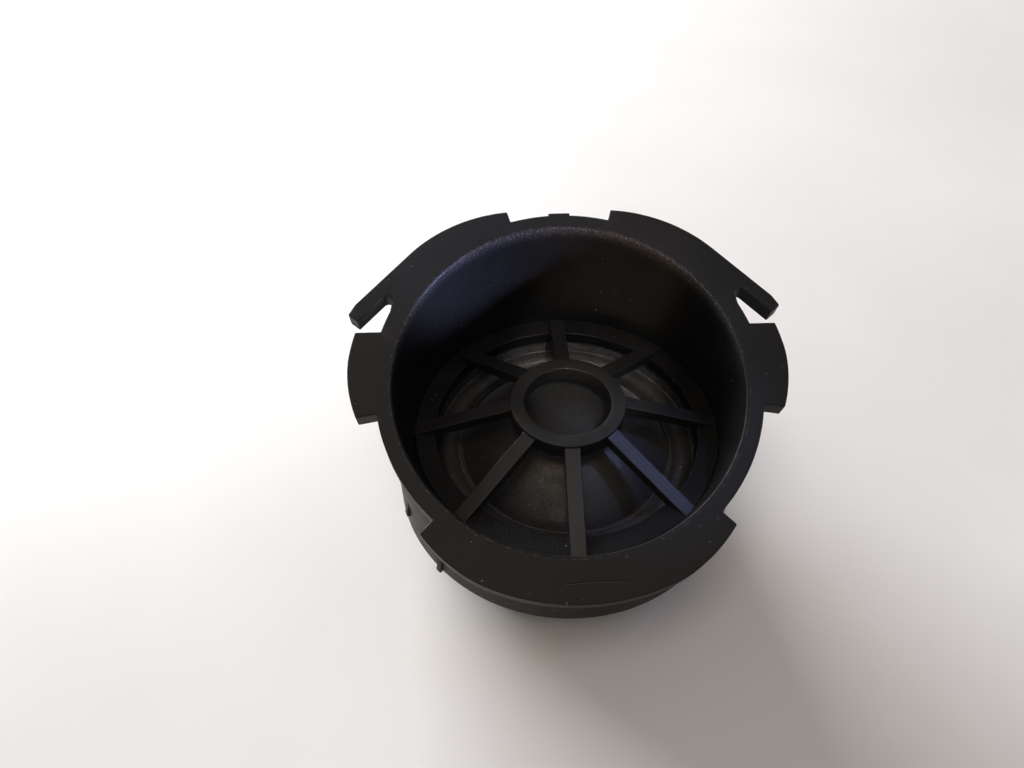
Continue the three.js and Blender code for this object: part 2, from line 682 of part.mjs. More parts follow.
function connectorShroud() {
  const half = SOCKET_WIDTH / 2;
  const innerHalf = half - SOCKET_WALL;
  const innerZ = [SOCKET_BOTTOM + SOCKET_WALL, SOCKET_TOP - SOCKET_WALL];
  const body = block([-half, half], [SOCKET_START_Y, SOCKET_END_Y], [SOCKET_BOTTOM, SOCKET_TOP]);
  const cavity = block([-innerHalf, innerHalf], [CAVITY_START_Y, SOCKET_END_Y + OVERCUT], innerZ);
  const chamber = block([-innerHalf, innerHalf], [SOCKET_START_Y - OVERCUT, CHAMBER_END_Y], innerZ);
  const pins = [1, -1].map((side) => pinBlock(side, GAP));
  const collarTop = SOCKET_TOP + COLLAR_HEIGHT;
  const collar = cut(
    disc(CAPACITOR_R + COLLAR_WALL, SOCKET_TOP - LAP, collarTop, CAPACITOR_X, CAPACITOR_Y, 32),
    disc(CAPACITOR_R + GAP, SOCKET_TOP, collarTop + OVERCUT, CAPACITOR_X, CAPACITOR_Y, 32),
    block([-half, half], [0, SOCKET_START_Y], [SOCKET_TOP - OVERCUT, collarTop + OVERCUT]),
    block(
      [CAPACITOR_X, SOCKET_WIDTH],
      [CAPACITOR_Y - COLLAR_SLOT / 2, CAPACITOR_Y + COLLAR_SLOT / 2],
      [SOCKET_TOP, collarTop + OVERCUT],
    ),
  );
  const leadHoles = [1, -1].map((way) => disc(
    CAPACITOR_LEAD_R + LEAD_HOLE_GAP,
    SOCKET_TOP - SOCKET_WALL - OVERCUT,
    SOCKET_TOP + OVERCUT,
    CAPACITOR_X,
    CAPACITOR_Y + (way * CAPACITOR_LEAD_PITCH) / 2,
    SMALL_ROUND,
  ));
  // The plug's latch catches on this ramp on the socket's roof.
  const latch = block(
    [LATCH.x - LATCH.width / 2, LATCH.x + LATCH.width / 2],
    [SOCKET_END_Y - LATCH.setback - LATCH.length, SOCKET_END_Y - LATCH.setback],
    [SOCKET_TOP - LAP, SOCKET_TOP + LATCH.height],
  );
  return cut(join(body, collar, latch), cavity, chamber, ...pins, ...leadHoles);
}

// ---- Rear cover ---------------------------------------------------------

const SNAP_ANGLES = Array.from({ length: COVER_SNAPS }, (_, i) => -Math.PI / 2 + (i / COVER_SNAPS) * 2 * Math.PI);
const SNAP_TOP = CHASSIS_BOTTOM - CUT_GAP;

function snapBlock(angle, [r0, r1], width, [z0, z1]) {
  const geometry = new THREE.BoxGeometry(r1 - r0, width, z1 - z0);
  geometry.translate((r0 + r1) / 2, 0, (z0 + z1) / 2);
  geometry.rotateZ(angle);
  return solid(geometry);
}

// Windows in the drum wall that the cover's barbs spring out into.
function snapPockets() {
  const radii = [BORE_R - 2 * LAP, DRUM_R - POCKET_SKIN];
  const heights = [COVER_PLATE_TOP + LAP, SNAP_TOP + LAP];
  return SNAP_ANGLES.map((angle) => snapBlock(angle, radii, SNAP_WIDTH + 2 * CUT_GAP, heights));
}

function rearCover() {
  const plateR = BORE_R - 2 * GAP;
  const body = turned([
    [0, 0],
    [CAN_R - CAN_CHAMFER, 0],
    [CAN_R, CAN_CHAMFER],
    [CAN_R, DRUM_BOTTOM],
    [plateR, DRUM_BOTTOM],
    [plateR, COVER_PLATE_TOP],
    [CAN_INNER_R, COVER_PLATE_TOP],
    [CAN_INNER_R, CAN_FLOOR],
    [0, CAN_FLOOR],
  ]);
  const tongues = SNAP_ANGLES.map((angle) => (
    snapBlock(angle, [plateR - TONGUE_THICK, plateR - TONGUE_INSET], SNAP_WIDTH, [COVER_PLATE_TOP - LAP, SNAP_TOP])));
  const barbs = SNAP_ANGLES.map((angle) => (
    snapBlock(angle, [plateR - BARB_FOOT, plateR + SNAP_BARB], SNAP_WIDTH, [SNAP_TOP - BARB_HEIGHT, SNAP_TOP])));
  return join(body, ...tongues, ...barbs);
}

// ---- Assembly -----------------------------------------------------------

const finishes = {
  blackPlastic: { color: 0x242528, roughness: 0.55, metalness: 0 },
  satinPlastic: { color: 0x121315, roughness: 0.4, metalness: 0 },
  coverPlastic: { color: 0x1c1c1e, roughness: 0.6, metalness: 0 },
  chassisPlastic: { color: 0x303236, roughness: 0.6, metalness: 0 },
  coatedCloth: { color: 0x1b1c20, roughness: 0.7, metalness: 0 },
  blackRubber: { color: 0x141416, roughness: 0.65, metalness: 0 },
  greyFoam: { color: 0x3a3b3d, roughness: 0.95, metalness: 0 },
  felt: { color: 0x6d6a63, roughness: 0.95, metalness: 0 },
  aluminium: { color: 0xb9bcc0, roughness: 0.35, metalness: 1 },
  copper: { color: 0xb56a3a, roughness: 0.35, metalness: 1 },
  zincSteel: { color: 0x9ea3a8, roughness: 0.35, metalness: 1 },
  nickelMagnet: { color: 0xa9aaa8, roughness: 0.25, metalness: 1 },
  tinnedBrass: { color: 0xb7aa86, roughness: 0.35, metalness: 1 },
  capacitorSleeve: { color: 0x1c2f52, roughness: 0.45, metalness: 0 },
  wireSleeve: { color: 0x2a2a2c, roughness: 0.6, metalness: 0 },
};

const group = new THREE.Group();

function add(name, manifold, finish) {
  const mesh = new THREE.Mesh(geometryOf(manifold), new THREE.MeshStandardMaterial(finishes[finish]));
  mesh.name = name;
  group.add(mesh);
}

add('front_housing', frontHousing(), 'blackPlastic');
add('guard_grille', guardGrille(), 'satinPlastic');
add('snap_arm_left', snapArm(-1), 'blackPlastic');
add('snap_arm_right', snapArm(1), 'blackPlastic');

const gasket = ring(ROLL_OUTER_R + GASKET_TO_ROLL, SURROUND_R + GASKET_MARGIN, SURROUND_TOP + GAP, LEDGE_BOTTOM - GAP);
add('front_gasket', gasket, 'greyFoam');
add('surround', surround(), 'blackRubber');
add('dome', dome(), 'coatedCloth');
add('coil_former', coilFormer(), 'aluminium');
add('voice_coil', voiceCoil(), 'copper');
add('chassis_ring', chassisRing(), 'chassisPlastic');
add('yoke_cup', yokeCup(), 'zincSteel');
add('magnet', disc(MAGNET_R, MAGNET_BOTTOM + GAP / 2, PLATE_BOTTOM - GAP / 2, 0, 0, MEDIUM_ROUND), 'nickelMagnet');
add('pole_plate', disc(PLATE_R, PLATE_BOTTOM, PLATE_TOP, 0, 0, MEDIUM_ROUND), 'zincSteel');
add('dome_felt', disc(MAGNET_R - FELT_INSET, PLATE_TOP + GAP, PLATE_TOP + GAP + FELT_HEIGHT, 0, 0, MEDIUM_ROUND), 'felt');
add('rear_cover', rearCover(), 'coverPlastic');
add('rear_foam', disc(YOKE_R - 1, CAN_FLOOR + GAP, YOKE_BOTTOM - GAP, 0, 0, MEDIUM_ROUND), 'greyFoam');

add('connector_shroud', connectorShroud(), 'chassisPlastic');
add('terminal_pin_positive', pinBlock(-1), 'tinnedBrass');
add('terminal_pin_negative', pinBlock(1), 'tinnedBrass');
add('solder_tag_positive', solderTag(-1), 'tinnedBrass');
add('solder_tag_negative', solderTag(1), 'tinnedBrass');
add('tinsel_lead_positive', tinselLead(-1), 'copper');
add('tinsel_lead_negative', tinselLead(1), 'copper');

const capacitorTop = CAPACITOR_BOTTOM + CAPACITOR_HEIGHT;
add(
  'filter_capacitor',
  disc(CAPACITOR_R, CAPACITOR_BOTTOM, capacitorTop, CAPACITOR_X, CAPACITOR_Y, 32),
  'capacitorSleeve',
);
const leads = capacitorLeads();
add('capacitor_lead_to_pin', leads.toPin, 'aluminium');
add('capacitor_lead_to_tag', leads.toTag, 'aluminium');
add('lead_wire_negative', leadWireNegative(), 'wireSleeve');

export default group;
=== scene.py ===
"""The looks of a soft-dome car tweeter: its slanted cup, guard, dome and connector, on the fixed frame."""
import math

import bmesh
import bpy
from mathutils import Matrix, Vector


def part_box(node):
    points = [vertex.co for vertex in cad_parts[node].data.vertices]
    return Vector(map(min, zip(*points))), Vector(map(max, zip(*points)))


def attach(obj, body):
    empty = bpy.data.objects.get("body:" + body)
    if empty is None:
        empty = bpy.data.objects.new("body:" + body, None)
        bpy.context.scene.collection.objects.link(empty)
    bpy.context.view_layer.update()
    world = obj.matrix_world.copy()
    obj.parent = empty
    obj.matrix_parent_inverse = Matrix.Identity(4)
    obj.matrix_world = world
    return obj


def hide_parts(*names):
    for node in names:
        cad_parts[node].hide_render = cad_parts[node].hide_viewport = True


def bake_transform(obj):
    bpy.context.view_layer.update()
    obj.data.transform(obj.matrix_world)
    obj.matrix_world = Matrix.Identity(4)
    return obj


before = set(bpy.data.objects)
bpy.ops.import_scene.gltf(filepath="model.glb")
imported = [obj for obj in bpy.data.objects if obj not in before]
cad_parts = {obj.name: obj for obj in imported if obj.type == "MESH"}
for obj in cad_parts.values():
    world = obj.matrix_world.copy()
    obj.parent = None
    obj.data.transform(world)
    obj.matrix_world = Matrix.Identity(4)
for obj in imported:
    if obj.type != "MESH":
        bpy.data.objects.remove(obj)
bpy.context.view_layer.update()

MM = 0.001

# ---- Sizes in millimetres ---------------------------------------------------

# The cup and its slanted mouth
RIM_TILT = math.radians(19)
RIM_CENTRE = Vector((0, 0, 23.7))
RIM_R = 20.0
RING_R = 21.85
FLANGE_THICK = 2.3
DRUM_R = 20.4
DRUM_STRAIGHT_TOP = 11.0
BOWL_FLOOR_R = 18.0
LEDGE_BOTTOM = 14.0
LEDGE_TOP = 15.6
LEDGE_INNER_R = 15.5
BORE_R = 18.9
DRUM_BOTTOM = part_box("front_housing")[0].z / MM

# The flange's outline, as reaches beyond the ring and degrees from the uphill axis
SIDE_LUG = {"end": 99.6, "end_reach": 2.3, "full": 82, "reach": 3.3, "swell": 1.6}
SIDE_LUG_TOP_V = 6.5
BOTTOM_LUG = {"end": 135.6, "end_reach": 2.0, "full": 156, "reach": 3.0, "swell": 1.5}
UPPER_LUG = {"end": 15.8, "end_reach": 1.5, "full": 47, "reach": 2.91, "swell": 1.75}
KEY_TAB_HALF = 1.3
KEY_TAB_REACH = 0.3
ARM_FOOT = math.radians(47)
ARM_OUT = RING_R + 2.91
ARM_IN = ARM_OUT - 1.78
ARM_TIP = 10.75
ARM_CHAMFER = 1.5
SLOT_END = 6.5
SLOT_R = 0.7
SLOT_FLOOR = 0.45
ARM_SEAM = 6.2
EDGE_ROUND = 0.14
CORNER_ROUND = 0.2
CREASE_ROUND = 0.12
MOUTH_ROUND = 0.28
HEEL_ROUND = 0.3

# The ramped wedges on the drum
WEDGE_RISE = 0.45
WEDGE_WIDTH = 0.7

# The guard
HUB_TOP = 20.0
HUB_OUTER_R = 6.7
HUB_INNER_R = 5.05
HUB_THICK = 2.0
SPOKES = 8
SPOKE_WIDTH = 1.3
SPOKE_DEPTH = 1.8
SPOKE_INTO_HUB = 0.55
SPOKE_OVER_LEDGE = 0.25
GUARD_ROUND = 0.12

# The dome and its surround
DOME_BASE_R = 12.8
DOME_BASE_Z = 11.7
DOME_RISE = 5.3
DOME_SHELL = 0.35
DOME_LIP = 0.35
ROLL_OUTER_R = 15.6
ROLL_RISE = 1.0
SURROUND_R = 17.4
SURROUND_THICK = 0.3

# The rear cover
CAN_R = 16.6
COVER_PLATE_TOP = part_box("front_housing")[0].z / MM + 1.4

ROUND = 240

# The chips on the mouth's edge, in the mouth's plane, each with its depth
CHIPS = [((-12.35, -15.75), 0.26), ((-11.3, -16.5), 0.14), ((-10.35, -17.1), 0.18)]
CHIP_SPREAD = 0.5

# The view
CAMERA_PLACE = (-8.65, -63.9, 94.45)
CAMERA_TILT = math.radians(41.87)
CAMERA_TURN = -0.0342
CAMERA_LENS = 29.88


# ---- Shader building --------------------------------------------------------

class Value:
    """A number that a material works out from place to place. Sums on it add Math nodes."""

    def __init__(self, paint, socket):
        self.paint = paint
        self.socket = socket

    def _math(self, operation, *others):
        inputs = {index: other for index, other in enumerate((self, *others))}
        return self.paint.node("ShaderNodeMath", {"operation": operation}, inputs).out()

    def __add__(self, other):
        return self._math("ADD", other)

    def __sub__(self, other):
        return self._math("SUBTRACT", other)

    def __mul__(self, other):
        return self._math("MULTIPLY", other)

    def __radd__(self, other):
        return self._math("ADD", other)

    def __rmul__(self, other):
        return self._math("MULTIPLY", other)

    def __rsub__(self, other):
        return self.paint.node("ShaderNodeMath", {"operation": "SUBTRACT"}, {0: other, 1: self}).out()

    def sine(self):
        return self._math("SINE")

    def size(self):
        return self._math("ABSOLUTE")

    def root(self):
        return self._math("SQRT")

    def power(self, exponent):
        return self._math("POWER", exponent)

    def least(self, other):
        return self._math("MINIMUM", other)

    def between(self, low, high):
        """0 below low, 1 above high, and a smooth step from one to the other."""
        settings = {"interpolation_type": "SMOOTHSTEP"}
        return self.paint.node("ShaderNodeMapRange", settings, {0: self, 1: low, 2: high}).out()


class Made:
    """A node that has been added to a material."""

    def __init__(self, paint, node):
        self.paint = paint
        self.node = node

    def out(self, name=0):
        return Value(self.paint, self.node.outputs[name])


class Paint:
    """A material under construction."""

    def __init__(self, name):
        self.material = bpy.data.materials.new(name)
        self.material.use_nodes = True
        self.tree = self.material.node_tree
        self.tree.nodes.clear()
        self._place = None

    def node(self, kind, settings=None, inputs=None):
        made = self.tree.nodes.new(kind)
        for key, value in (settings or {}).items():
            if key == "stops":
                while len(made.color_ramp.elements) < len(value):
                    made.color_ramp.elements.new(0.5)
                for element, (position, colour) in zip(made.color_ramp.elements, value):
                    element.position = position
                    element.color = (*colour, 1)
            else:
                setattr(made, key, value)
        for key, value in (inputs or {}).items():
            socket = made.inputs[key]
            if isinstance(value, Value):
                self.tree.links.new(value.socket, socket)
            else:
                socket.default_value = value
        return Made(self, made)

    def place(self):
        """The point on the piece, in metres in the object's frame."""
        if self._place is None:
            self._place = self.node("ShaderNodeTexCoord").out("Object")
        return self._place

    def axes(self):
        split = self.node("ShaderNodeSeparateXYZ", None, {0: self.place()})
        return split.out("X"), split.out("Y"), split.out("Z")

    def noise(self, per_mm, detail=3.0, roughness=0.55, stretch=(1, 1, 1), distortion=0.0):
        """Noise of about 0 to 1, with per_mm lumps to the millimetre."""
        mapped = self.node("ShaderNodeMapping", None, {0: self.place(), "Scale": stretch}).out()
        inputs = {
            "Vector": mapped,
            "Scale": per_mm / MM,
            "Detail": detail,
            "Roughness": roughness,
            "Distortion": distortion,
        }
        return self.node("ShaderNodeTexNoise", None, inputs).out(0)

    def cells(self, per_mm):
        """The distance to the nearest of per_mm scattered points to the millimetre."""
        inputs = {"Vector": self.place(), "Scale": per_mm / MM}
        return self.node("ShaderNodeTexVoronoi", None, inputs).out("Distance")

    def mix(self, share, first, second):
        """A colour that goes from first to second as share goes from 0 to 1."""
        inputs = {0: share, 6: first, 7: second}
        made = self.node("ShaderNodeMix", {"data_type": "RGBA"}, inputs)
        return Value(self, made.node.outputs[2])

    def bump(self, height, depth_mm, strength=1.0):
        inputs = {"Strength": strength, "Distance": depth_mm * MM, "Height": height}
        return self.node("ShaderNodeBump", None, inputs).out()

    def finish(self, colour, roughness, normal, metallic=0.0, coat=0.0, **fixed):
        """The whole material. Fixed values are named as their sockets, with _ for each space."""
        inputs = {
            "Base Color": colour,
            "Roughness": roughness,
            "Normal": normal,
            "Metallic": metallic,
            "Coat Weight": coat,
        }
        inputs.update({key.replace("_", " "): value for key, value in fixed.items()})
        shader = self.node("ShaderNodeBsdfPrincipled", None, inputs).out()
        self.node("ShaderNodeOutputMaterial", None, {0: shader})
        return self.material


# ---- Materials --------------------------------------------------------------

def rgba(red, green, blue):
    return (red, green, blue, 1)


DUST_COLOUR = rgba(0.5, 0.49, 0.46)


def dust(paint, per_mm=0.42, size=0.05):
    """1 on scattered specks of dust, 0 elsewhere. Patches of noise keep them uneven."""
    coarse = 1 - paint.cells(per_mm).between(size * 0.5, size)
    fine = 1 - paint.cells(per_mm * 2.2).between(size * 0.6, size * 1.1)
    patches = paint.noise(0.12, 2).between(0.36, 0.6)
    return (coarse + fine * 0.6) * patches


def moulded_plastic(name, colour, sheen_colour, roughness, grain_mm=0.14, grain_depth=0.012, specks=0.6):
    """Spark-eroded black plastic: fine grain, uneven gloss, faint handling marks and a little dust."""
    paint = Paint(name)
    grain = paint.noise(1 / grain_mm, 4, 0.6)
    pits = paint.cells(0.7 / grain_mm)
    cloud = paint.noise(0.16, 4, 0.6)
    rubs = paint.noise(0.9, 5, 0.65, (1, 0.12, 1), 0.4)
    scuffs = paint.noise(1.3, 5, 0.7, (0.1, 1, 1), 0.3)
    marks = rubs.between(0.6, 0.72) + scuffs.between(0.62, 0.74)
    motes = dust(paint) * specks
    shade = paint.mix(cloud.between(0.3, 0.75) * 0.55 + marks * 0.18, rgba(*colour), rgba(*sheen_colour))
    dusty = paint.mix(motes, shade, DUST_COLOUR)
    gloss = roughness + (cloud - 0.5) * 0.16 - marks * 0.05 + (grain - 0.5) * 0.1 + motes * 0.3
    height = grain * 0.7 + pits * 0.3 + motes * 0.6
    return paint.finish(dusty, gloss, paint.bump(height, grain_depth, 0.9), Specular_IOR_Level=0.45)


def housing_plastic():
    """The flange and drum: grained, with a painted highlight as a paler ring round the mouth's edge, and a
    hairline scratch.
    """
    paint = Paint("housing_plastic")
    x, y, z = paint.axes()
    cosine, sine = math.cos(RIM_TILT), math.sin(RIM_TILT)
    up = y * cosine + (z - RIM_CENTRE.z * MM) * sine
    from_centre = (x * x + up * up).root()
    grain = paint.noise(4.2, 4, 0.62)
    pits = paint.cells(3.2)
    cloud = paint.noise(0.14, 4, 0.62)
    rubs = paint.noise(0.8, 5, 0.66, (1, 0.12, 1), 0.5)
    scuffs = paint.noise(1.2, 5, 0.7, (0.1, 1, 1), 0.3)
    marks = rubs.between(0.6, 0.74) + scuffs.between(0.62, 0.76)
    height_over = (z - RIM_CENTRE.z * MM) * cosine - y * sine
    drum = 1 - height_over.between(-(FLANGE_THICK + 0.5) * MM, -(FLANGE_THICK + 0.1) * MM)
    # A paler ring on the front face round the mouth's edge, in patches: a painted highlight.
    edge = 1 - (from_centre - (RIM_R + 0.1) * MM).size().between(0.05 * MM, 0.35 * MM)
    painted_edge_highlight = edge * (1 - drum) * paint.noise(1.6, 3).between(0.45, 0.7)
    line = (up + 22.6 * MM + (x - 2.2 * MM) * (x - 2.2 * MM) * 9.0).size()
    along = (x - 2.0 * MM).size()
    scratch = (1 - line.between(0.02 * MM, 0.09 * MM)) * (1 - along.between(3.2 * MM, 4.6 * MM))
    motes = dust(paint)
    sheen = cloud.between(0.3, 0.75) * 0.6 + marks * 0.2
    base = paint.mix(sheen, rgba(0.0075, 0.0076, 0.008), rgba(0.013, 0.0131, 0.0133))
    # Painted highlight: the ring round the mouth's edge is mixed towards pale grey.
    with_painted_highlight = paint.mix(painted_edge_highlight * 0.5, base, rgba(0.075, 0.074, 0.072))
    scored = paint.mix(scratch * 0.75, with_painted_highlight, rgba(0.006, 0.006, 0.007))
    dusty = paint.mix((motes * 0.95).least(1), scored, DUST_COLOUR)
    uneven = (cloud - 0.5) * 0.18 + (grain - 0.5) * 0.08
    gloss = 0.56 - drum * 0.05 + uneven - marks * 0.05 - painted_edge_highlight * 0.12 + motes * 0.3
    height = grain * 0.7 + pits * 0.3 - scratch * 2.0 + motes * 0.6
    return paint.finish(dusty, gloss, paint.bump(height, 0.035, 0.9), Specular_IOR_Level=0.28)


def bowl_plastic():
    """The bowl's polished wall: deeper black and glossier, with a painted highlight along the upper side of
    the mouth's edge, flecked as a fine sparkle, and settled dust.
    """
    paint = Paint("bowl_plastic")
    _, y, z = paint.axes()
    below = (y * math.sin(RIM_TILT)) - (z - RIM_CENTRE.z * MM) * math.cos(RIM_TILT)
    # The pale flecked band just under the mouth's edge, on the upper side only, is a painted highlight.
    painted_sparkle = paint.noise(7, 3, 0.7).between(0.5, 0.68)
    lip = (1 - below.between(0.05 * MM, 2.2 * MM)).power(3) * y.between(-2 * MM, 9 * MM)
    grain = paint.noise(4.6, 4, 0.65)
    pits = paint.cells(3.5)
    cloud = paint.noise(0.2, 4, 0.6)
    smears = paint.noise(0.5, 4, 0.6, (1, 1, 0.25), 0.6)
    low = 1 - z.between(15.6 * MM, 21 * MM)
    motes = dust(paint, 0.6, 0.06) * (0.35 + low * 0.5)
    base = paint.mix(cloud.between(0.3, 0.75), rgba(0.0035, 0.0035, 0.004), rgba(0.007, 0.0069, 0.007))
    # Painted highlight: the band under the mouth's edge is mixed towards pale grey.
    with_painted_highlight = paint.mix(lip * (0.1 + painted_sparkle * 0.9), base, rgba(0.16, 0.16, 0.165))
    dusty = paint.mix(motes, with_painted_highlight, rgba(0.36, 0.35, 0.33))
    gloss = 0.46 + (cloud - 0.5) * 0.1 + smears.between(0.5, 0.75) * 0.08 + (grain - 0.5) * 0.2 + motes * 0.3
    height = grain * 0.6 + pits * 0.4 + motes * 0.5
    return paint.finish(dusty, gloss, paint.bump(height, 0.055, 1.0), Specular_IOR_Level=0.19)


def guard_plastic():
    """Satin black spokes and hub, with fine flow lines and scattered dust."""
    paint = Paint("guard_plastic")
    grain = paint.noise(6, 4, 0.6)
    cloud = paint.noise(0.3, 4, 0.6)
    flow = paint.noise(1.4, 4, 0.6, (1, 1, 0.3), 0.8)
    motes = dust(paint, 0.7, 0.06)
    base = paint.mix(cloud.between(0.3, 0.75), rgba(0.0075, 0.0075, 0.008), rgba(0.0125, 0.0124, 0.0125))
    dusty = paint.mix(motes * 0.55, base, rgba(0.4, 0.39, 0.36))
    gloss = 0.42 + (cloud - 0.5) * 0.14 + (flow - 0.5) * 0.1 + (grain - 0.5) * 0.08 + motes * 0.3
    return paint.finish(dusty, gloss, paint.bump(grain + motes, 0.01, 0.8), Specular_IOR_Level=0.42)


def weave(paint, pitch_mm):
    """The height of a plain weave whose threads are pitch_mm apart, seen along the dome's axis."""
    x, y, _ = paint.axes()
    turn = 2 * math.pi / (pitch_mm * MM)
    over = (x * turn).sine()
    under = (y * turn).sine()
    return over * under * 0.5 + 0.5, (over.size() + under.size()) * 0.5


def coated_cloth(name, dark, pale, roughness, pitch_mm=0.3, depth_mm=0.03):
    """Woven textile soaked in a soft black dope: threads still show, and the dope pools unevenly."""
    paint = Paint(name)
    threads, cords = weave(paint, pitch_mm)
    pools = paint.noise(0.5, 4, 0.6)
    fuzz = paint.noise(9, 3)
    mottle = paint.noise(2.1, 5, 0.75).between(0.4, 0.64)
    motes = dust(paint, 0.8, 0.07)
    dope = pools.between(0.35, 0.7)
    base = paint.mix(threads * 0.3 + pools * 0.3 + mottle * 0.4, rgba(*dark), rgba(*pale))
    dusty = paint.mix(motes * 0.6, base, rgba(0.4, 0.38, 0.34))
    gloss = roughness + (threads - 0.5) * 0.1 - dope * 0.08 + (fuzz - mottle) * 0.12 + motes * 0.2
    height = threads * 0.35 + cords * 0.2 + fuzz * 0.15 + mottle * 0.35
    sheen = {"Sheen_Weight": 0.25, "Sheen_Roughness": 0.4, "Specular_IOR_Level": 0.5}
    return paint.finish(dusty, gloss, paint.bump(height, depth_mm, 0.7), coat=dope * 0.1, **sheen)


def foam(name, colour):
    """Open-cell foam."""
    paint = Paint(name)
    cells = paint.cells(2.2)
    fine = paint.noise(4, 3)
    base = paint.mix(cells.between(0.1, 0.6), rgba(*[part * 0.4 for part in colour]), rgba(*colour))
    return paint.finish(base, 0.9 + (fine - 0.5) * 0.1, paint.bump(cells + fine * 0.3, 0.12, 0.9))


def felt():
    """Pressed grey felt."""
    paint = Paint("felt")
    fibres = paint.noise(3, 6, 0.75, (1, 1, 1), 2.0)
    base = paint.mix(fibres, rgba(0.09, 0.085, 0.08), rgba(0.24, 0.235, 0.22))
    return paint.finish(base, 0.92 + (fibres - 0.5) * 0.08, paint.bump(fibres, 0.08, 0.9))


def metal(name, colour, tarnish, roughness, stretch=(1, 1, 1)):
    """Bare or plated metal with drawn lines and a tarnish that gathers in patches."""
    paint = Paint(name)
    lines = paint.noise(4, 4, 0.6, stretch)
    patches = paint.noise(0.4, 4, 0.6).between(0.45, 0.75)
    base = paint.mix(patches * 0.7, rgba(*colour), rgba(*tarnish))
    gloss = roughness + patches * 0.18 + (lines - 0.5) * 0.16
    return paint.finish(base, gloss, paint.bump(lines, 0.006, 0.7), metallic=1.0 - patches * 0.15)


def capacitor_sleeve():
    """Shrunk blue sleeve with a paler stripe down one side that marks the lead next to it."""
    paint = Paint("capacitor_sleeve")
    x, y, z = paint.axes()
    low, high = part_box("filter_capacitor")
    middle = (low + high) / 2
    shrink = paint.noise(0.8, 3, 0.5, (1, 1, 0.3))
    side = (y - middle.y) * -1
    stripe = side.between(1.9 * MM, 2.05 * MM) * (1 - (x - middle.x).size().between(1.0 * MM, 1.1 * MM))
    base = paint.mix(stripe * 0.8, rgba(0.012, 0.03, 0.1), rgba(0.3, 0.33, 0.38))
    top = z.between(high.z - 0.06 * MM, high.z - 0.02 * MM)
    capped = paint.mix(top * 0.9, base, rgba(0.5, 0.5, 0.52))
    gloss = 0.34 + (shrink - 0.5) * 0.2
    return paint.finish(capped, gloss, paint.bump(shrink, 0.05, 0.5), coat=0.3 + (shrink - 0.5) * 0.1)


def table_top():
    """A pale painted surface with faint soft marks."""
    paint = Paint("table_top")
    cloud = paint.noise(0.012, 4, 0.55)
    fine = paint.noise(1.2, 4, 0.6)
    base = paint.mix(cloud.between(0.3, 0.7), rgba(0.80, 0.795, 0.79), rgba(0.86, 0.858, 0.855))
    gloss = 0.42 + (cloud - 0.5) * 0.1 + (fine - 0.5) * 0.06
    return paint.finish(base, gloss, paint.bump(fine, 0.02, 0.3))


# ---- Mesh building ----------------------------------------------------------

def piece_from(bm, name, materials, sharp=38):
    """A finished piece at the origin, from points in millimetres."""
    bmesh.ops.scale(bm, vec=(MM, MM, MM), verts=bm.verts)
    bmesh.ops.recalc_face_normals(bm, faces=bm.faces)
    mesh = bpy.data.meshes.new(name)
    bm.to_mesh(mesh)
    bm.free()
    for material in materials:
        mesh.materials.append(material)
    mesh.shade_smooth()
    mesh.set_sharp_from_angle(angle=math.radians(sharp))
    piece = bpy.data.objects.new(name, mesh)
    bpy.context.scene.collection.objects.link(piece)
    piece.modifiers.new("weighted_normals", "WEIGHTED_NORMAL").keep_sharp = True
    return freeze(piece)


def freeze(piece):
    """Turns the piece's modifiers into its plain mesh."""
    view = bpy.context.evaluated_depsgraph_get()
    made = bpy.data.meshes.new_from_object(piece.evaluated_get(view), depsgraph=view)
    made.name = piece.name
    piece.modifiers.clear()
    piece.data = made
    return piece


def loop(bm, points):
    return [bm.verts.new(point) for point in points]


def band(bm, first, second, material=0):
    count = len(first)
    for i in range(count):
        j = (i + 1) % count
        face = bm.faces.new((first[i], first[j], second[j], second[i]))
        face.material_index = material


def closed_edges(bm, verts):
    edges = []
    for i, vert in enumerate(verts):
        other = verts[(i + 1) % len(verts)]
        edges.append(bm.edges.get((vert, other)) or bm.edges.new((vert, other)))
    return edges


def fill_between(bm, normal, *loops):
    """Fills the flat face bounded by the loops."""
    edges = [edge for verts in loops for edge in closed_edges(bm, verts)]
    bmesh.ops.triangle_fill(bm, edges=edges, use_beauty=True, use_dissolve=False, normal=normal)


def turned(name, profile, materials, segments=120, sharp=38):
    """A piece turned about Z from a closed profile of (radius, height) pairs. Radius 0 is a pole."""
    bm = bmesh.new()
    rows = []
    for radius, height in profile:
        if radius == 0:
            rows.append([bm.verts.new((0, 0, height))])
        else:
            rows.append(loop(bm, level_circle(radius, height, segments)))
    for i, row in enumerate(rows):
        after = rows[(i + 1) % len(rows)]
        if len(row) == 1 and len(after) == 1:
            continue
        if len(row) == 1 or len(after) == 1:
            pole, ring = (row[0], after) if len(row) == 1 else (after[0], row)
            for k in range(segments):
                bm.faces.new((pole, ring[k], ring[(k + 1) % segments]))
        else:
            band(bm, row, after)
    return piece_from(bm, name, materials, sharp)


def level_circle(radius, height, segments=ROUND):
    angles = [2 * math.pi * i / segments for i in range(segments)]
    return [Vector((radius * math.cos(a), radius * math.sin(a), height)) for a in angles]


# ---- The slanted mouth's plane ----------------------------------------------

rim_plane = Matrix.Translation(RIM_CENTRE) @ Matrix.Rotation(RIM_TILT, 4, "X")
rim_plane_back = rim_plane.inverted()
rim_normal = (rim_plane.to_3x3() @ Vector((0, 0, 1))).normalized()


def on_rim(points, depth):
    """Flat points in the mouth's plane, moved depth below it, in the frame's own axes."""
    return [rim_plane @ Vector((x, y, -depth)) for x, y in points]


def polar(radius, degrees, side=1):
    angle = math.radians(degrees)
    return Vector((side * radius * math.sin(angle), radius * math.cos(angle)))


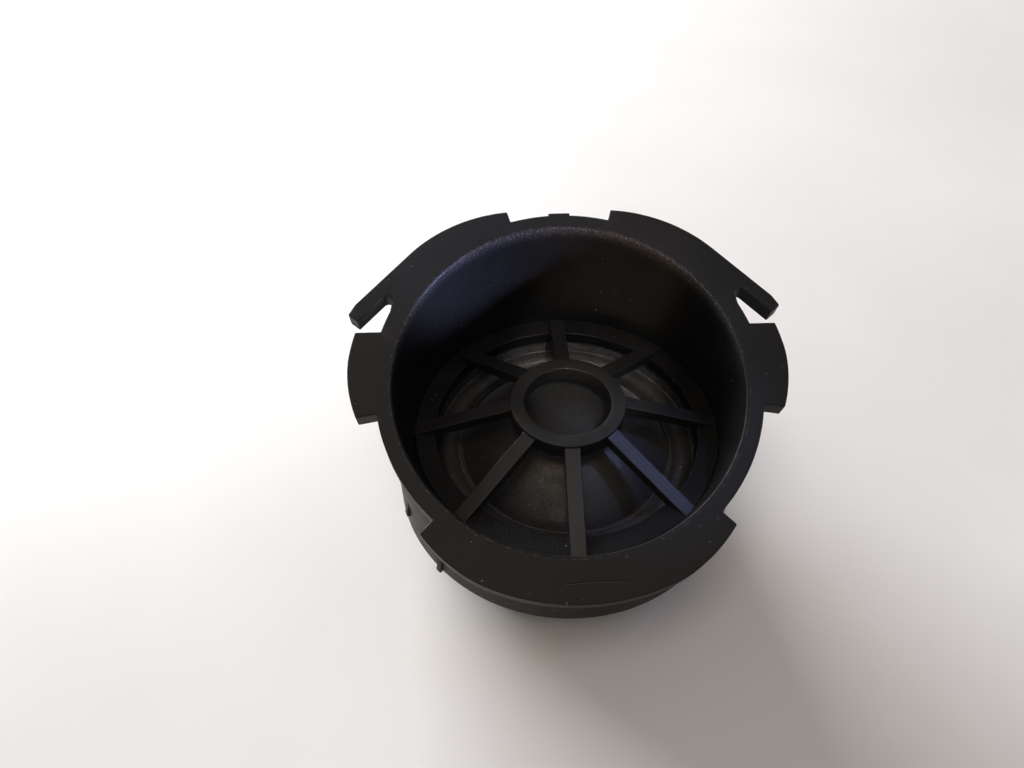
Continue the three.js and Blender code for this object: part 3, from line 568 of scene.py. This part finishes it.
def arm_point(along, out, side=1):
    """Along the straight edge of an upper lug from the foot of its normal, and out from the centre."""
    x = out * math.sin(ARM_FOOT) + along * math.cos(ARM_FOOT)
    v = out * math.cos(ARM_FOOT) - along * math.sin(ARM_FOOT)
    return Vector((side * x, v))


def degrees_at(radius, v):
    return math.degrees(math.acos(v / radius))


def sweep(radius, start, stop, step=1.5):
    """Corners without rounding, on an arc of the flange's outline."""
    count = max(1, round(abs(stop - start) / step))
    return [(polar(radius, start + (stop - start) * i / count), 0) for i in range(count + 1)]


def swelling_edge(lug, steps, start_share=1.0):
    """The smooth outer edge of a lug, from its end to where it has its full reach."""
    corners = []
    for i in range(steps + 1):
        share = start_share * (1 - i / steps)
        reach = lug["reach"] - (lug["reach"] - lug["end_reach"]) * share ** lug["swell"]
        corners.append((polar(RING_R + reach, lug["full"] + (lug["end"] - lug["full"]) * share), 0))
    return corners


def slot_corners():
    """The slot's round end and its floor, up to the side lug's top edge."""
    centre_out = ARM_IN - SLOT_R
    corners = []
    for i in range(13):
        angle = math.pi * i / 12
        along = SLOT_END - SLOT_R * math.sin(angle)
        corners.append((arm_point(along, centre_out + SLOT_R * math.cos(angle)), 0))
    foot = arm_point(SLOT_END, ARM_IN - 2 * SLOT_R)
    floor_r = RING_R + SLOT_FLOOR
    stop = degrees_at(floor_r, SIDE_LUG_TOP_V)
    corners += sweep(floor_r, degrees_at(foot.length, foot.y) + 2, stop - 1)
    return [*corners, (polar(floor_r, stop), CREASE_ROUND)]


def half_outline():
    """The flange's outline from the top centre to the bottom centre on the +X side, as (point, rounding)."""
    side_r = RING_R + SIDE_LUG["reach"]
    side_top = degrees_at(side_r, SIDE_LUG_TOP_V)
    tab_foot_v = math.sqrt(RING_R ** 2 - KEY_TAB_HALF ** 2)
    corners = [(Vector((KEY_TAB_HALF, RING_R + KEY_TAB_REACH)), CREASE_ROUND)]
    corners += [(Vector((KEY_TAB_HALF, tab_foot_v)), CREASE_ROUND / 2)]
    corners += sweep(RING_R, 5, 14.6)
    corners += [(polar(RING_R, UPPER_LUG["end"]), CREASE_ROUND)]
    corners += [(polar(RING_R + UPPER_LUG["end_reach"], UPPER_LUG["end"]), CREASE_ROUND)]
    corners += swelling_edge(UPPER_LUG, 16, 0.94)
    corners += [(arm_point(3, ARM_OUT), 0)]
    corners += [(arm_point(ARM_TIP - ARM_CHAMFER, ARM_OUT), 0.6), (arm_point(ARM_TIP, ARM_OUT - 0.35), 0.22)]
    corners += [(arm_point(ARM_TIP - 0.1, ARM_IN), 0.15), (arm_point(SLOT_END + 1.5, ARM_IN), 0)]
    corners += slot_corners()
    corners += [(polar(side_r, side_top), CORNER_ROUND)]
    corners += sweep(side_r, side_top + 2, SIDE_LUG["full"] - 1)
    corners += reversed(swelling_edge(SIDE_LUG, 12, 0.94))
    corners += [(polar(RING_R + SIDE_LUG["end_reach"], SIDE_LUG["end"]), CORNER_ROUND)]
    corners += [(polar(RING_R, SIDE_LUG["end"]), CREASE_ROUND)]
    corners += sweep(RING_R, 101, 134.2)
    corners += [(polar(RING_R, BOTTOM_LUG["end"]), CREASE_ROUND)]
    corners += [(polar(RING_R + BOTTOM_LUG["end_reach"], BOTTOM_LUG["end"]), CORNER_ROUND)]
    corners += swelling_edge(BOTTOM_LUG, 12, 0.93)
    corners += sweep(RING_R + BOTTOM_LUG["reach"], BOTTOM_LUG["full"] + 1.5, 180)
    return corners


def rounded(corners, steps=5):
    """A closed outline in which each corner with a rounding becomes an arc."""
    points = []
    for i, (corner, radius) in enumerate(corners):
        if not radius:
            points.append(corner)
            continue
        back = (corners[i - 1][0] - corner).normalized()
        ahead = (corners[(i + 1) % len(corners)][0] - corner).normalized()
        half = back.angle(ahead) / 2
        centre = corner + (back + ahead).normalized() * (radius / math.sin(half))
        start = corner + back * (radius / math.tan(half)) - centre
        stop = corner + ahead * (radius / math.tan(half)) - centre
        turn = math.atan2(start.x * stop.y - start.y * stop.x, start.dot(stop))
        for k in range(steps + 1):
            points.append(centre + Matrix.Rotation(turn * k / steps, 2) @ start)
    return points


def inset(points, distance):
    """The closed outline moved inwards. It runs clockwise, seen from the front."""
    moved = []
    for i, point in enumerate(points):
        before = (point - points[i - 1]).normalized()
        after = (points[(i + 1) % len(points)] - point).normalized()
        tangent = (before + after).normalized()
        inward = Vector((tangent.y, -tangent.x))
        spread = max(0.5, before.dot(tangent))
        moved.append(point + inward * (distance / spread))
    return moved


def flange_outline():
    right = half_outline()
    left = [(Vector((-point.x, point.y)), radius) for point, radius in reversed(right[:-1])]
    return rounded(right + left)


def mouth_loop(radius, depth):
    return on_rim([(p.x, p.y) for p in level_circle(radius, 0)], depth)


def between(first, second, share):
    return [a.lerp(b, share) for a, b in zip(first, second)]


# ---- Housing ----------------------------------------------------------------

def rounding_rows():
    """(inset, depth) pairs down a rounded edge of the flange, from its front face to its back."""
    rows = []
    steps = 4
    for i in range(steps + 1):
        angle = math.pi / 2 * i / steps
        rows.append((EDGE_ROUND * (1 - math.sin(angle)), EDGE_ROUND * (1 - math.cos(angle))))
    rows += [(inset_by, FLANGE_THICK - depth) for inset_by, depth in reversed(rows)]
    return rows


def mouth_rounding(steps=7):
    """(radius beyond the mouth's, depth) pairs down the rounded inner edge of the mouth."""
    angles = [math.pi / 2 * i / steps for i in range(steps + 1)]
    return [(MOUTH_ROUND * (0.5 - math.sin(a)), MOUTH_ROUND * (1 - math.cos(a))) for a in angles]


def nick(point):
    """How far a point of the mouth's edge is chipped outwards, by the old nicks on the low side."""
    flat = rim_plane_back @ point
    depth = 0
    for centre, size in CHIPS:
        away = (Vector((flat.x, flat.y)) - Vector(centre)).length
        depth += size * max(0, 1 - away / CHIP_SPREAD)
    return depth


def chipped(points):
    moved = []
    for point in points:
        flat = rim_plane_back @ point
        out = Vector((flat.x, flat.y, 0)).normalized()
        moved.append(rim_plane @ (flat + out * nick(point) - Vector((0, 0, nick(point) * 0.5))))
    return moved


def housing_mesh(bm):
    outline = flange_outline()
    edge_rows = [loop(bm, on_rim(inset(outline, by), depth)) for by, depth in rounding_rows()]
    for upper, lower in zip(edge_rows, edge_rows[1:]):
        band(bm, upper, lower)

    mouth = [chipped(mouth_loop(RIM_R + by, depth)) for by, depth in mouth_rounding()]
    floor = level_circle(BOWL_FLOOR_R, LEDGE_TOP)
    wall_steps = 14
    wall = [between(mouth[-1], floor, i / wall_steps) for i in range(1, wall_steps + 1)]
    back = mouth_loop(RING_R - 0.5, FLANGE_THICK)
    drum_top = level_circle(DRUM_R, DRUM_STRAIGHT_TOP)
    drum_steps = 6
    outside = [between(back, drum_top, i / drum_steps) for i in range(1, drum_steps + 1)]
    heel = []
    for angle in (0, math.pi / 6, math.pi / 3, math.pi / 2):
        radius = DRUM_R - HEEL_ROUND * (1 - math.cos(angle))
        heel.append(level_circle(radius, DRUM_BOTTOM + HEEL_ROUND * (1 - math.sin(angle))))
    inside = [
        level_circle(BORE_R, DRUM_BOTTOM),
        level_circle(BORE_R, LEDGE_BOTTOM),
        level_circle(BOWL_FLOOR_R, LEDGE_BOTTOM),
    ]
    mouth_rows = [loop(bm, points) for points in mouth]
    wall_rows = [loop(bm, points) for points in wall]
    skirt_rows = [loop(bm, points) for points in [back, *outside, *heel, *inside]]
    for upper, lower in zip(mouth_rows, mouth_rows[1:]):
        band(bm, upper, lower, 1)
    for upper, lower in zip([mouth_rows[-1], *wall_rows], wall_rows):
        band(bm, upper, lower, 1)
    for upper, lower in zip(skirt_rows, skirt_rows[1:]):
        band(bm, upper, lower)
    band(bm, skirt_rows[-1], wall_rows[-1], 1)
    fill_between(bm, rim_normal, edge_rows[0], mouth_rows[0])
    fill_between(bm, -rim_normal, edge_rows[-1], skirt_rows[0])


def arm_place(point, side):
    """(along, out) of a point of the frame, for the snap arm on that side."""
    flat = rim_plane_back @ point
    x = side * flat.x
    along = x * math.cos(ARM_FOOT) - flat.y * math.sin(ARM_FOOT)
    out = x * math.sin(ARM_FOOT) + flat.y * math.cos(ARM_FOOT)
    return along, out


def on_arm(point, side, start):
    along, out = arm_place(point, side)
    return along > start and out > ARM_IN - 0.4


def seam_plane(side):
    """A point on the plane between lug and snap arm, and the plane's normal."""
    near = rim_plane @ arm_point(ARM_SEAM, ARM_IN, side).to_3d()
    far = rim_plane @ arm_point(ARM_SEAM + 1, ARM_IN, side).to_3d()
    return near, (far - near).normalized()


def split_arm(bm, side):
    """Cuts the snap arm off the housing's mesh along a flat seam, and gives it as a mesh of its own."""
    near, normal = seam_plane(side)
    faces = [f for f in bm.faces if any(on_arm(v.co, side, ARM_SEAM - 0.6) for v in f.verts)]
    edges = {e for f in faces for e in f.edges}
    verts = {v for f in faces for v in f.verts}
    bmesh.ops.bisect_plane(bm, geom=[*faces, *edges, *verts], dist=1e-5, plane_co=near, plane_no=normal)
    arm = bm.copy()
    for mesh, keeps_arm in ((bm, False), (arm, True)):
        gone = [f for f in mesh.faces if on_arm(f.calc_center_median(), side, ARM_SEAM) != keeps_arm]
        bmesh.ops.delete(mesh, geom=gone, context="FACES")
        ends = [e for e in mesh.edges if e.is_boundary]
        bmesh.ops.holes_fill(mesh, edges=ends, sides=0)
    return arm


def make_housing(plastic, polished):
    bm = bmesh.new()
    housing_mesh(bm)
    arms = {side: split_arm(bm, side) for side in (-1, 1)}
    housing = piece_from(bm, "housing_shell", [plastic, polished])
    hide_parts("front_housing")
    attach(housing, "housing")
    for side, word in ((-1, "left"), (1, "right")):
        arm = piece_from(arms[side], f"flex_arm_{word}", [plastic, polished])
        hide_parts(f"snap_arm_{word}")
        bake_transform(arm)


def make_wedges(plastic):
    """The ramped wedges on the drum, each with a rounded nose and a square catch below."""
    low, high = DRUM_BOTTOM + 0.2, DRUM_BOTTOM + 3.4
    bm = bmesh.new()
    for azimuth, bottom, height in ((222, low, 3.0), (203, high, 3.4), (42, low, 3.0), (23, high, 3.4)):
        side_view = [(-0.45, 0), (WEDGE_RISE, 0), (WEDGE_RISE, 0.45), (-0.02, height - 0.3), (-0.45, height)]
        turn = Matrix.Rotation(math.radians(azimuth), 4, "Z")
        faces = []
        for across in (-WEDGE_WIDTH / 2, WEDGE_WIDTH / 2):
            points = [Vector((DRUM_R + out, across, bottom + up)) for out, up in side_view]
            faces.append(loop(bm, [turn @ point for point in points]))
        band(bm, *faces)
        for corners in faces:
            bm.faces.new(corners)
    wedges = piece_from(bm, "drum_wedges", [plastic])
    bevel = wedges.modifiers.new("rounding", "BEVEL")
    bevel.width = 0.08 * MM
    bevel.segments = 3
    bevel.limit_method = "ANGLE"
    freeze(wedges)
    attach(wedges, "housing")


# ---- Guard, by Geometry Nodes -----------------------------------------------

class GeometryTree:
    """A Geometry Nodes tree under construction, with named inputs."""

    def __init__(self, name):
        self.tree = bpy.data.node_groups.new(name, "GeometryNodeTree")
        self.tree.interface.new_socket(name="Geometry", in_out="OUTPUT", socket_type="NodeSocketGeometry")
        self.values = {}
        self.given = self.tree.nodes.new("NodeGroupInput")

    def size(self, name, value, kind="NodeSocketFloat"):
        """A named input, and the socket that brings it into the tree."""
        socket = self.tree.interface.new_socket(name=name, in_out="INPUT", socket_type=kind)
        self.values[socket.identifier] = value
        return self.given.outputs[name]

    def node(self, kind, settings=None, inputs=None):
        made = self.tree.nodes.new(kind)
        for key, value in (settings or {}).items():
            setattr(made, key, value)
        for key, value in (inputs or {}).items():
            for one in value if isinstance(value, list) else [value]:
                if isinstance(one, bpy.types.NodeSocket):
                    self.tree.links.new(one, made.inputs[key])
                else:
                    made.inputs[key].default_value = one
        return made.outputs[0]

    def maths(self, operation, first, second):
        return self.node("ShaderNodeMath", {"operation": operation}, {0: first, 1: second})

    def point(self, x=0.0, y=0.0, z=0.0):
        return self.node("ShaderNodeCombineXYZ", None, {0: x, 1: y, 2: z})

    def painted(self, geometry, material):
        """The geometry as plain faces in the material."""
        real = self.node("GeometryNodeRealizeInstances", None, {0: geometry})
        return self.node("GeometryNodeSetMaterial", None, {"Geometry": real, "Material": material})

    def make(self, name, geometry):
        """A plain mesh piece from the tree."""
        out = self.tree.nodes.new("NodeGroupOutput")
        self.tree.links.new(geometry, out.inputs[0])
        piece = bpy.data.objects.new(name, bpy.data.meshes.new(name))
        bpy.context.scene.collection.objects.link(piece)
        modifier = piece.modifiers.new(name, "NODES")
        modifier.node_group = self.tree
        for identifier, value in self.values.items():
            modifier[identifier] = value
        return freeze(piece)


def rounded_section(tree, width, height, rounding):
    """A rectangle with rounded corners, across and up."""
    section = tree.node("GeometryNodeCurvePrimitiveQuadrilateral", None, {0: width, 1: height})
    settings = {"mode": "POLY"}
    return tree.node("GeometryNodeFilletCurve", settings, {"Curve": section, "Count": 3, "Radius": rounding})


def swept_ring(tree, inner, outer, bottom, top, rounding):
    """A ring of rectangular section between two radii and two heights."""
    middle = tree.maths("MULTIPLY", tree.maths("ADD", inner, outer), 0.5)
    width = tree.maths("SUBTRACT", outer, inner)
    height = tree.maths("SUBTRACT", top, bottom)
    circle = tree.node("GeometryNodeCurvePrimitiveCircle", None, {"Resolution": 144, "Radius": middle})
    section = rounded_section(tree, width, height, rounding)
    solid = tree.node("GeometryNodeCurveToMesh", None, {"Curve": circle, "Profile Curve": section})
    lift = tree.point(z=tree.maths("MULTIPLY", tree.maths("ADD", bottom, top), 0.5))
    return tree.node("GeometryNodeTransform", None, {"Geometry": solid, "Translation": lift})


def make_guard(plastic, polished):
    tree = GeometryTree("guard")
    hub_inner = tree.size("Hub inner radius", HUB_INNER_R * MM)
    hub_outer = tree.size("Hub outer radius", HUB_OUTER_R * MM)
    hub_top = tree.size("Hub top", HUB_TOP * MM)
    hub_bottom = tree.size("Hub bottom", (HUB_TOP - HUB_THICK) * MM)
    ledge_inner = tree.size("Ledge inner radius", LEDGE_INNER_R * MM)
    ledge_outer = tree.size("Ledge outer radius", (BOWL_FLOOR_R - 0.02) * MM)
    ledge_top = tree.size("Ledge top", LEDGE_TOP * MM)
    ledge_bottom = tree.size("Ledge bottom", LEDGE_BOTTOM * MM)
    count = tree.size("Spokes", SPOKES, "NodeSocketInt")
    width = tree.size("Spoke width", SPOKE_WIDTH * MM)
    depth = tree.size("Spoke depth", SPOKE_DEPTH * MM)
    rounding = tree.size("Edge rounding", GUARD_ROUND * MM)

    hub = swept_ring(tree, hub_inner, hub_outer, hub_bottom, hub_top, rounding)
    ledge = swept_ring(tree, ledge_inner, ledge_outer, ledge_bottom, ledge_top, rounding)

    half = tree.maths("MULTIPLY", depth, 0.5)
    start_x = tree.maths("SUBTRACT", hub_outer, SPOKE_INTO_HUB * MM)
    start = tree.point(x=start_x, z=tree.maths("SUBTRACT", hub_top, half))
    end_z = tree.maths("SUBTRACT", tree.maths("ADD", ledge_top, SPOKE_OVER_LEDGE * MM), half)
    end = tree.point(x=tree.maths("SUBTRACT", ledge_outer, 0.02 * MM), z=end_z)
    line = tree.node("GeometryNodeCurvePrimitiveLine", None, {"Start": start, "End": end})
    section = rounded_section(tree, depth, width, rounding)
    inputs = {"Curve": line, "Profile Curve": section, "Fill Caps": True}
    spoke = tree.node("GeometryNodeCurveToMesh", None, inputs)
    points = tree.node("GeometryNodePoints", None, {"Count": count})
    index = tree.node("GeometryNodeInputIndex")
    angle = tree.maths("DIVIDE", tree.maths("MULTIPLY", index, 2 * math.pi), count)
    inputs = {"Points": points, "Instance": spoke, "Rotation": tree.point(z=angle)}
    spokes = tree.node("GeometryNodeInstanceOnPoints", None, inputs)
    star = tree.painted(tree.node("GeometryNodeJoinGeometry", None, {0: [hub, spokes]}), plastic)
    seat = tree.painted(ledge, polished)
    whole = tree.node("GeometryNodeJoinGeometry", None, {0: [star, seat]})
    guard = tree.make("spoked_guard", whole)
    settle(guard)
    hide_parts("guard_grille")
    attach(guard, "housing")


def settle(piece, sharp=38):
    """Merges doubles, points the faces outwards and smooths all but the sharp edges."""
    bm = bmesh.new()
    bm.from_mesh(piece.data)
    bmesh.ops.remove_doubles(bm, verts=bm.verts, dist=0.002 * MM)
    bmesh.ops.recalc_face_normals(bm, faces=bm.faces)
    bm.to_mesh(piece.data)
    bm.free()
    piece.data.shade_smooth()
    piece.data.set_sharp_from_angle(angle=math.radians(sharp))
    piece.modifiers.new("weighted_normals", "WEIGHTED_NORMAL").keep_sharp = True
    freeze(piece)


# ---- Dome and surround ------------------------------------------------------

def cap_height(radius, base, rise):
    """The height of a spherical cap above its base, at a radius."""
    sphere = (base ** 2 + rise ** 2) / (2 * rise)
    return rise - sphere + math.sqrt(sphere ** 2 - radius ** 2)


def make_dome(cloth):
    """The cloth dome, with a small turned-up lip where it is glued to the coil."""
    cap_r = DOME_BASE_R - DOME_LIP
    under_r = cap_r - DOME_SHELL
    lip = [(-0.28, 0.12), (-0.16, 0.34), (-0.04, 0.34), (0, 0.2), (0, 0)]
    profile = [(0, DOME_BASE_Z + DOME_RISE)]
    for i in range(1, 37):
        radius = cap_r * i / 36
        profile.append((radius, DOME_BASE_Z + cap_height(radius, cap_r, DOME_RISE)))
    profile += [(DOME_BASE_R + out, DOME_BASE_Z + up) for out, up in lip]
    for i in range(13):
        radius = under_r * (1 - i / 12)
        profile.append((radius, DOME_BASE_Z + cap_height(radius, under_r, DOME_RISE - DOME_SHELL)))
    dome = turned("cloth_dome", profile, [cloth], 160)
    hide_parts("dome")
    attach(dome, "diaphragm")


def make_surround(cloth):
    """The half-roll surround, whose flat foot stays glued down."""
    inner = DOME_BASE_R + 0.05
    middle = (inner + ROLL_OUTER_R) / 2
    half = (ROLL_OUTER_R - inner) / 2
    top_z = DOME_BASE_Z + SURROUND_THICK
    steps = 24
    profile = [(inner, DOME_BASE_Z)]
    for i in range(steps + 1):
        angle = math.pi * (1 - i / steps)
        profile.append((middle + half * math.cos(angle), top_z + ROLL_RISE * math.sin(angle)))
    profile += [(SURROUND_R, top_z), (SURROUND_R, DOME_BASE_Z)]
    slim = half - SURROUND_THICK
    for i in range(13):
        angle = math.pi * i / 12
        profile.append((middle + slim * math.cos(angle), DOME_BASE_Z + (ROLL_RISE - 0.1) * math.sin(angle)))
    roll = turned("cloth_surround", profile, [cloth], 160)
    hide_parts("surround")
    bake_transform(roll)


# ---- Rear pieces ------------------------------------------------------------

def make_cover(plastic):
    """The rear cover: a flat round foot with a turned rim, stepping out to the plate that closes the drum."""
    plate_r = BORE_R - 0.1
    profile = [(0, 0.25), (9.0, 0.25), (9.4, 0.0), (CAN_R - 0.6, 0.0)]
    profile += [(CAN_R - 0.6 + 0.6 * math.sin(a), 0.6 - 0.6 * math.cos(a)) for a in (0.3, 0.65, 1.0, 1.3)]
    profile += [(CAN_R, 0.6), (CAN_R, DRUM_BOTTOM - 0.4), (CAN_R + 0.12, DRUM_BOTTOM - 0.12)]
    profile += [(CAN_R + 0.4, DRUM_BOTTOM)]
    profile += [(plate_r - 0.2, DRUM_BOTTOM), (plate_r, DRUM_BOTTOM + 0.2), (plate_r, COVER_PLATE_TOP)]
    profile += [(CAN_R - 1.2, COVER_PLATE_TOP), (CAN_R - 1.2, 1.4), (0, 1.4)]
    cover = turned("cover_shell", profile, [plastic], 160, 50)
    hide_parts("rear_cover")
    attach(cover, "housing")


def bevelled_copy(node, name, width, segments=3, angle=30):
    """A CAD node's own mesh, merged, with its edges rounded."""
    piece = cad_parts[node].copy()
    piece.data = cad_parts[node].data.copy()
    for key in list(piece.keys()):
        del piece[key]
    piece.parent = None
    piece.name = name
    bpy.context.scene.collection.objects.link(piece)
    bm = bmesh.new()
    bm.from_mesh(piece.data)
    bmesh.ops.remove_doubles(bm, verts=bm.verts, dist=0.002 * MM)
    bmesh.ops.dissolve_limit(bm, angle_limit=math.radians(2), verts=bm.verts, edges=bm.edges)
    bm.to_mesh(piece.data)
    bm.free()
    rounding = piece.modifiers.new("rounding", "BEVEL")
    rounding.width = width * MM
    rounding.segments = segments
    rounding.limit_method = "ANGLE"
    rounding.angle_limit = math.radians(angle)
    freeze(piece)
    piece.data.shade_smooth()
    piece.data.set_sharp_from_angle(angle=math.radians(38))
    return piece


def make_connector(plastic, tin):
    shroud = bevelled_copy("connector_shroud", "plug_socket", 0.18)
    shroud.data.materials.clear()
    shroud.data.materials.append(plastic)
    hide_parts("connector_shroud")
    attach(shroud, "housing")
    for word in ("positive", "negative"):
        pin = bevelled_copy(f"terminal_pin_{word}", f"pin_{word}", 0.14, 2)
        pin.data.materials.clear()
        pin.data.materials.append(tin)
        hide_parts(f"terminal_pin_{word}")
        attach(pin, "housing")


def make_capacitor(sleeve):
    """The filter capacitor: a crimped can in a shrunk sleeve, with a dished top."""
    low, high = (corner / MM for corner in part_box("filter_capacitor"))
    radius = (high.x - low.x) / 2
    profile = [(0, low.z), (radius - 0.3, low.z), (radius, low.z + 0.25), (radius, low.z + 0.9)]
    profile += [(radius - 0.22, low.z + 1.2), (radius - 0.22, low.z + 1.4), (radius, low.z + 1.7)]
    profile += [(radius, high.z - 0.35), (radius - 0.1, high.z - 0.1), (radius - 0.3, high.z)]
    profile += [(radius - 0.6, high.z), (radius - 0.7, high.z - 0.12), (0, high.z - 0.12)]
    can = turned("capacitor_can", profile, [sleeve], 64, 50)
    can.data.transform(Matrix.Translation(Vector(((low.x + high.x) / 2, (low.y + high.y) / 2, 0)) * MM))
    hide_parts("filter_capacitor")
    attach(can, "housing")


# ---- Everything together ----------------------------------------------------

def make_floor():
    bpy.ops.mesh.primitive_plane_add(size=6)
    floor = bpy.context.active_object
    floor.name = "table"
    floor.data.materials.append(table_top())


def add_light(name, place, size, power, colour):
    light = bpy.data.lights.new(name, "AREA")
    light.shape = "RECTANGLE"
    light.size, light.size_y = size
    light.energy = power
    light.color = colour
    lamp = bpy.data.objects.new(name, light)
    lamp.location = place
    lamp.rotation_euler = (Vector((0, 0, 0.015)) - Vector(place)).to_track_quat("-Z", "Y").to_euler()
    bpy.context.scene.collection.objects.link(lamp)


def add_accent(name, place, target_mm, power, colour, cone_degrees, stretch):
    """A narrow soft-edged spot, for a highlight on one stretch of the bowl's wall."""
    light = bpy.data.lights.new(name, "SPOT")
    light.energy = power
    light.color = colour
    light.spot_size = math.radians(cone_degrees)
    light.spot_blend = 1
    light.shadow_soft_size = 0.01
    lamp = bpy.data.objects.new(name, light)
    lamp.location = place
    lamp.rotation_euler = (Vector(target_mm) * MM - Vector(place)).to_track_quat("-Z", "Y").to_euler()
    lamp.scale = (stretch, 1, 1)
    bpy.context.scene.collection.objects.link(lamp)


def add_lights():
    add_light("window", (-0.26, 0.43, 0.19), (0.46, 0.16), 6.1, (0.98, 0.98, 1.0))
    add_light("ceiling", (-0.07, -0.15, 0.6), (0.26, 0.26), 0.6, (1.0, 0.80, 0.62))
    add_light("front", (-0.06, -0.40, 0.36), (0.12, 0.10), 0.12, (1.0, 0.9, 0.8))
    add_light("cool_side", (0.34, 0.02, 0.40), (0.10, 0.11), 0.1, (0.42, 0.52, 1.0))
    add_accent("cool_low", (0.262, -0.097, 0.082), (-11.0, 16.2, 30.2), 85, (0.50, 0.56, 1.0), 1.0, 2.6)
    add_accent("warm_low", (-0.179, -0.271, 0.0945), (6.9, 18.0, 25.6), 50, (1.0, 0.66, 0.42), 1.0, 1.0)
    add_accent("cool_spoke", (0.16, 0.03, 0.30), (8.2, -7.8, 17.5), 8, (0.40, 0.48, 1.0), 1.6, 1.0)
    add_accent("weave_glint", (0.028, -0.127, 0.219), (3.3, 13.2, 12.8), 45, (1.0, 0.95, 0.9), 1.0, 1.2)
    world = bpy.data.worlds.new("room")
    world.use_nodes = True
    world.node_tree.nodes["Background"].inputs[0].default_value = (1.0, 0.95, 0.88, 1)
    world.node_tree.nodes["Background"].inputs[1].default_value = 0.2
    bpy.context.scene.world = world


def add_camera():
    camera = bpy.data.cameras.new("camera")
    camera.sensor_width = 36
    camera.lens = CAMERA_LENS
    camera.clip_start = 0.005
    view = bpy.data.objects.new("camera", camera)
    view.location = Vector(CAMERA_PLACE) * MM
    view.rotation_euler = (CAMERA_TILT, 0, CAMERA_TURN)
    bpy.context.scene.collection.objects.link(view)
    bpy.context.scene.camera = view
    bpy.context.scene.view_settings.view_transform = "Standard"


def paint_inner_nodes():
    """Finishes for the CAD nodes that stay as they are."""
    zinc = metal("zinc_steel", (0.56, 0.58, 0.6), (0.34, 0.34, 0.33), 0.3)
    nickel = metal("nickel_plate", (0.66, 0.65, 0.62), (0.5, 0.48, 0.44), 0.2)
    copper = metal("copper_winding", (0.72, 0.36, 0.18), (0.4, 0.18, 0.08), 0.3, (0.2, 0.2, 3))
    bare = metal("bare_aluminium", (0.78, 0.79, 0.8), (0.55, 0.55, 0.55), 0.28)
    tin = metal("tinned_brass", (0.74, 0.7, 0.56), (0.5, 0.45, 0.3), 0.3)
    soft = foam("foam", (0.05, 0.05, 0.052))
    chassis = moulded_plastic("chassis_plastic", (0.026, 0.0265, 0.029), (0.045, 0.045, 0.047), 0.55)
    sleeve = moulded_plastic("wire_sleeve", (0.03, 0.03, 0.032), (0.045, 0.045, 0.046), 0.5, 0.3, 0.006, 0)
    finishes = {
        zinc: ["yoke_cup", "pole_plate"],
        nickel: ["magnet"],
        copper: ["voice_coil", "tinsel_lead_positive", "tinsel_lead_negative"],
        bare: ["coil_former", "capacitor_lead_to_pin", "capacitor_lead_to_tag"],
        tin: ["solder_tag_positive", "solder_tag_negative"],
        soft: ["front_gasket", "rear_foam"],
        felt(): ["dome_felt"],
        chassis: ["chassis_ring"],
        sleeve: ["lead_wire_negative"],
    }
    for material, nodes in finishes.items():
        for node in nodes:
            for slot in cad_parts[node].material_slots:
                slot.link = "OBJECT"
                slot.material = material
    return chassis, tin


add_camera()
add_lights()
make_floor()
plastic = housing_plastic()
polished = bowl_plastic()
make_housing(plastic, polished)
make_wedges(plastic)
make_guard(guard_plastic(), polished)
make_dome(coated_cloth("dome_cloth", (0.008, 0.008, 0.0095), (0.028, 0.0275, 0.027), 0.5))
make_surround(coated_cloth("surround_cloth", (0.006, 0.006, 0.007), (0.04, 0.039, 0.038), 0.38, 0.36, 0.07))
chassis_plastic, tinned = paint_inner_nodes()
make_cover(moulded_plastic("cover_plastic", (0.018, 0.018, 0.019), (0.03, 0.03, 0.031), 0.58))
make_connector(chassis_plastic, tinned)
make_capacitor(capacitor_sleeve())
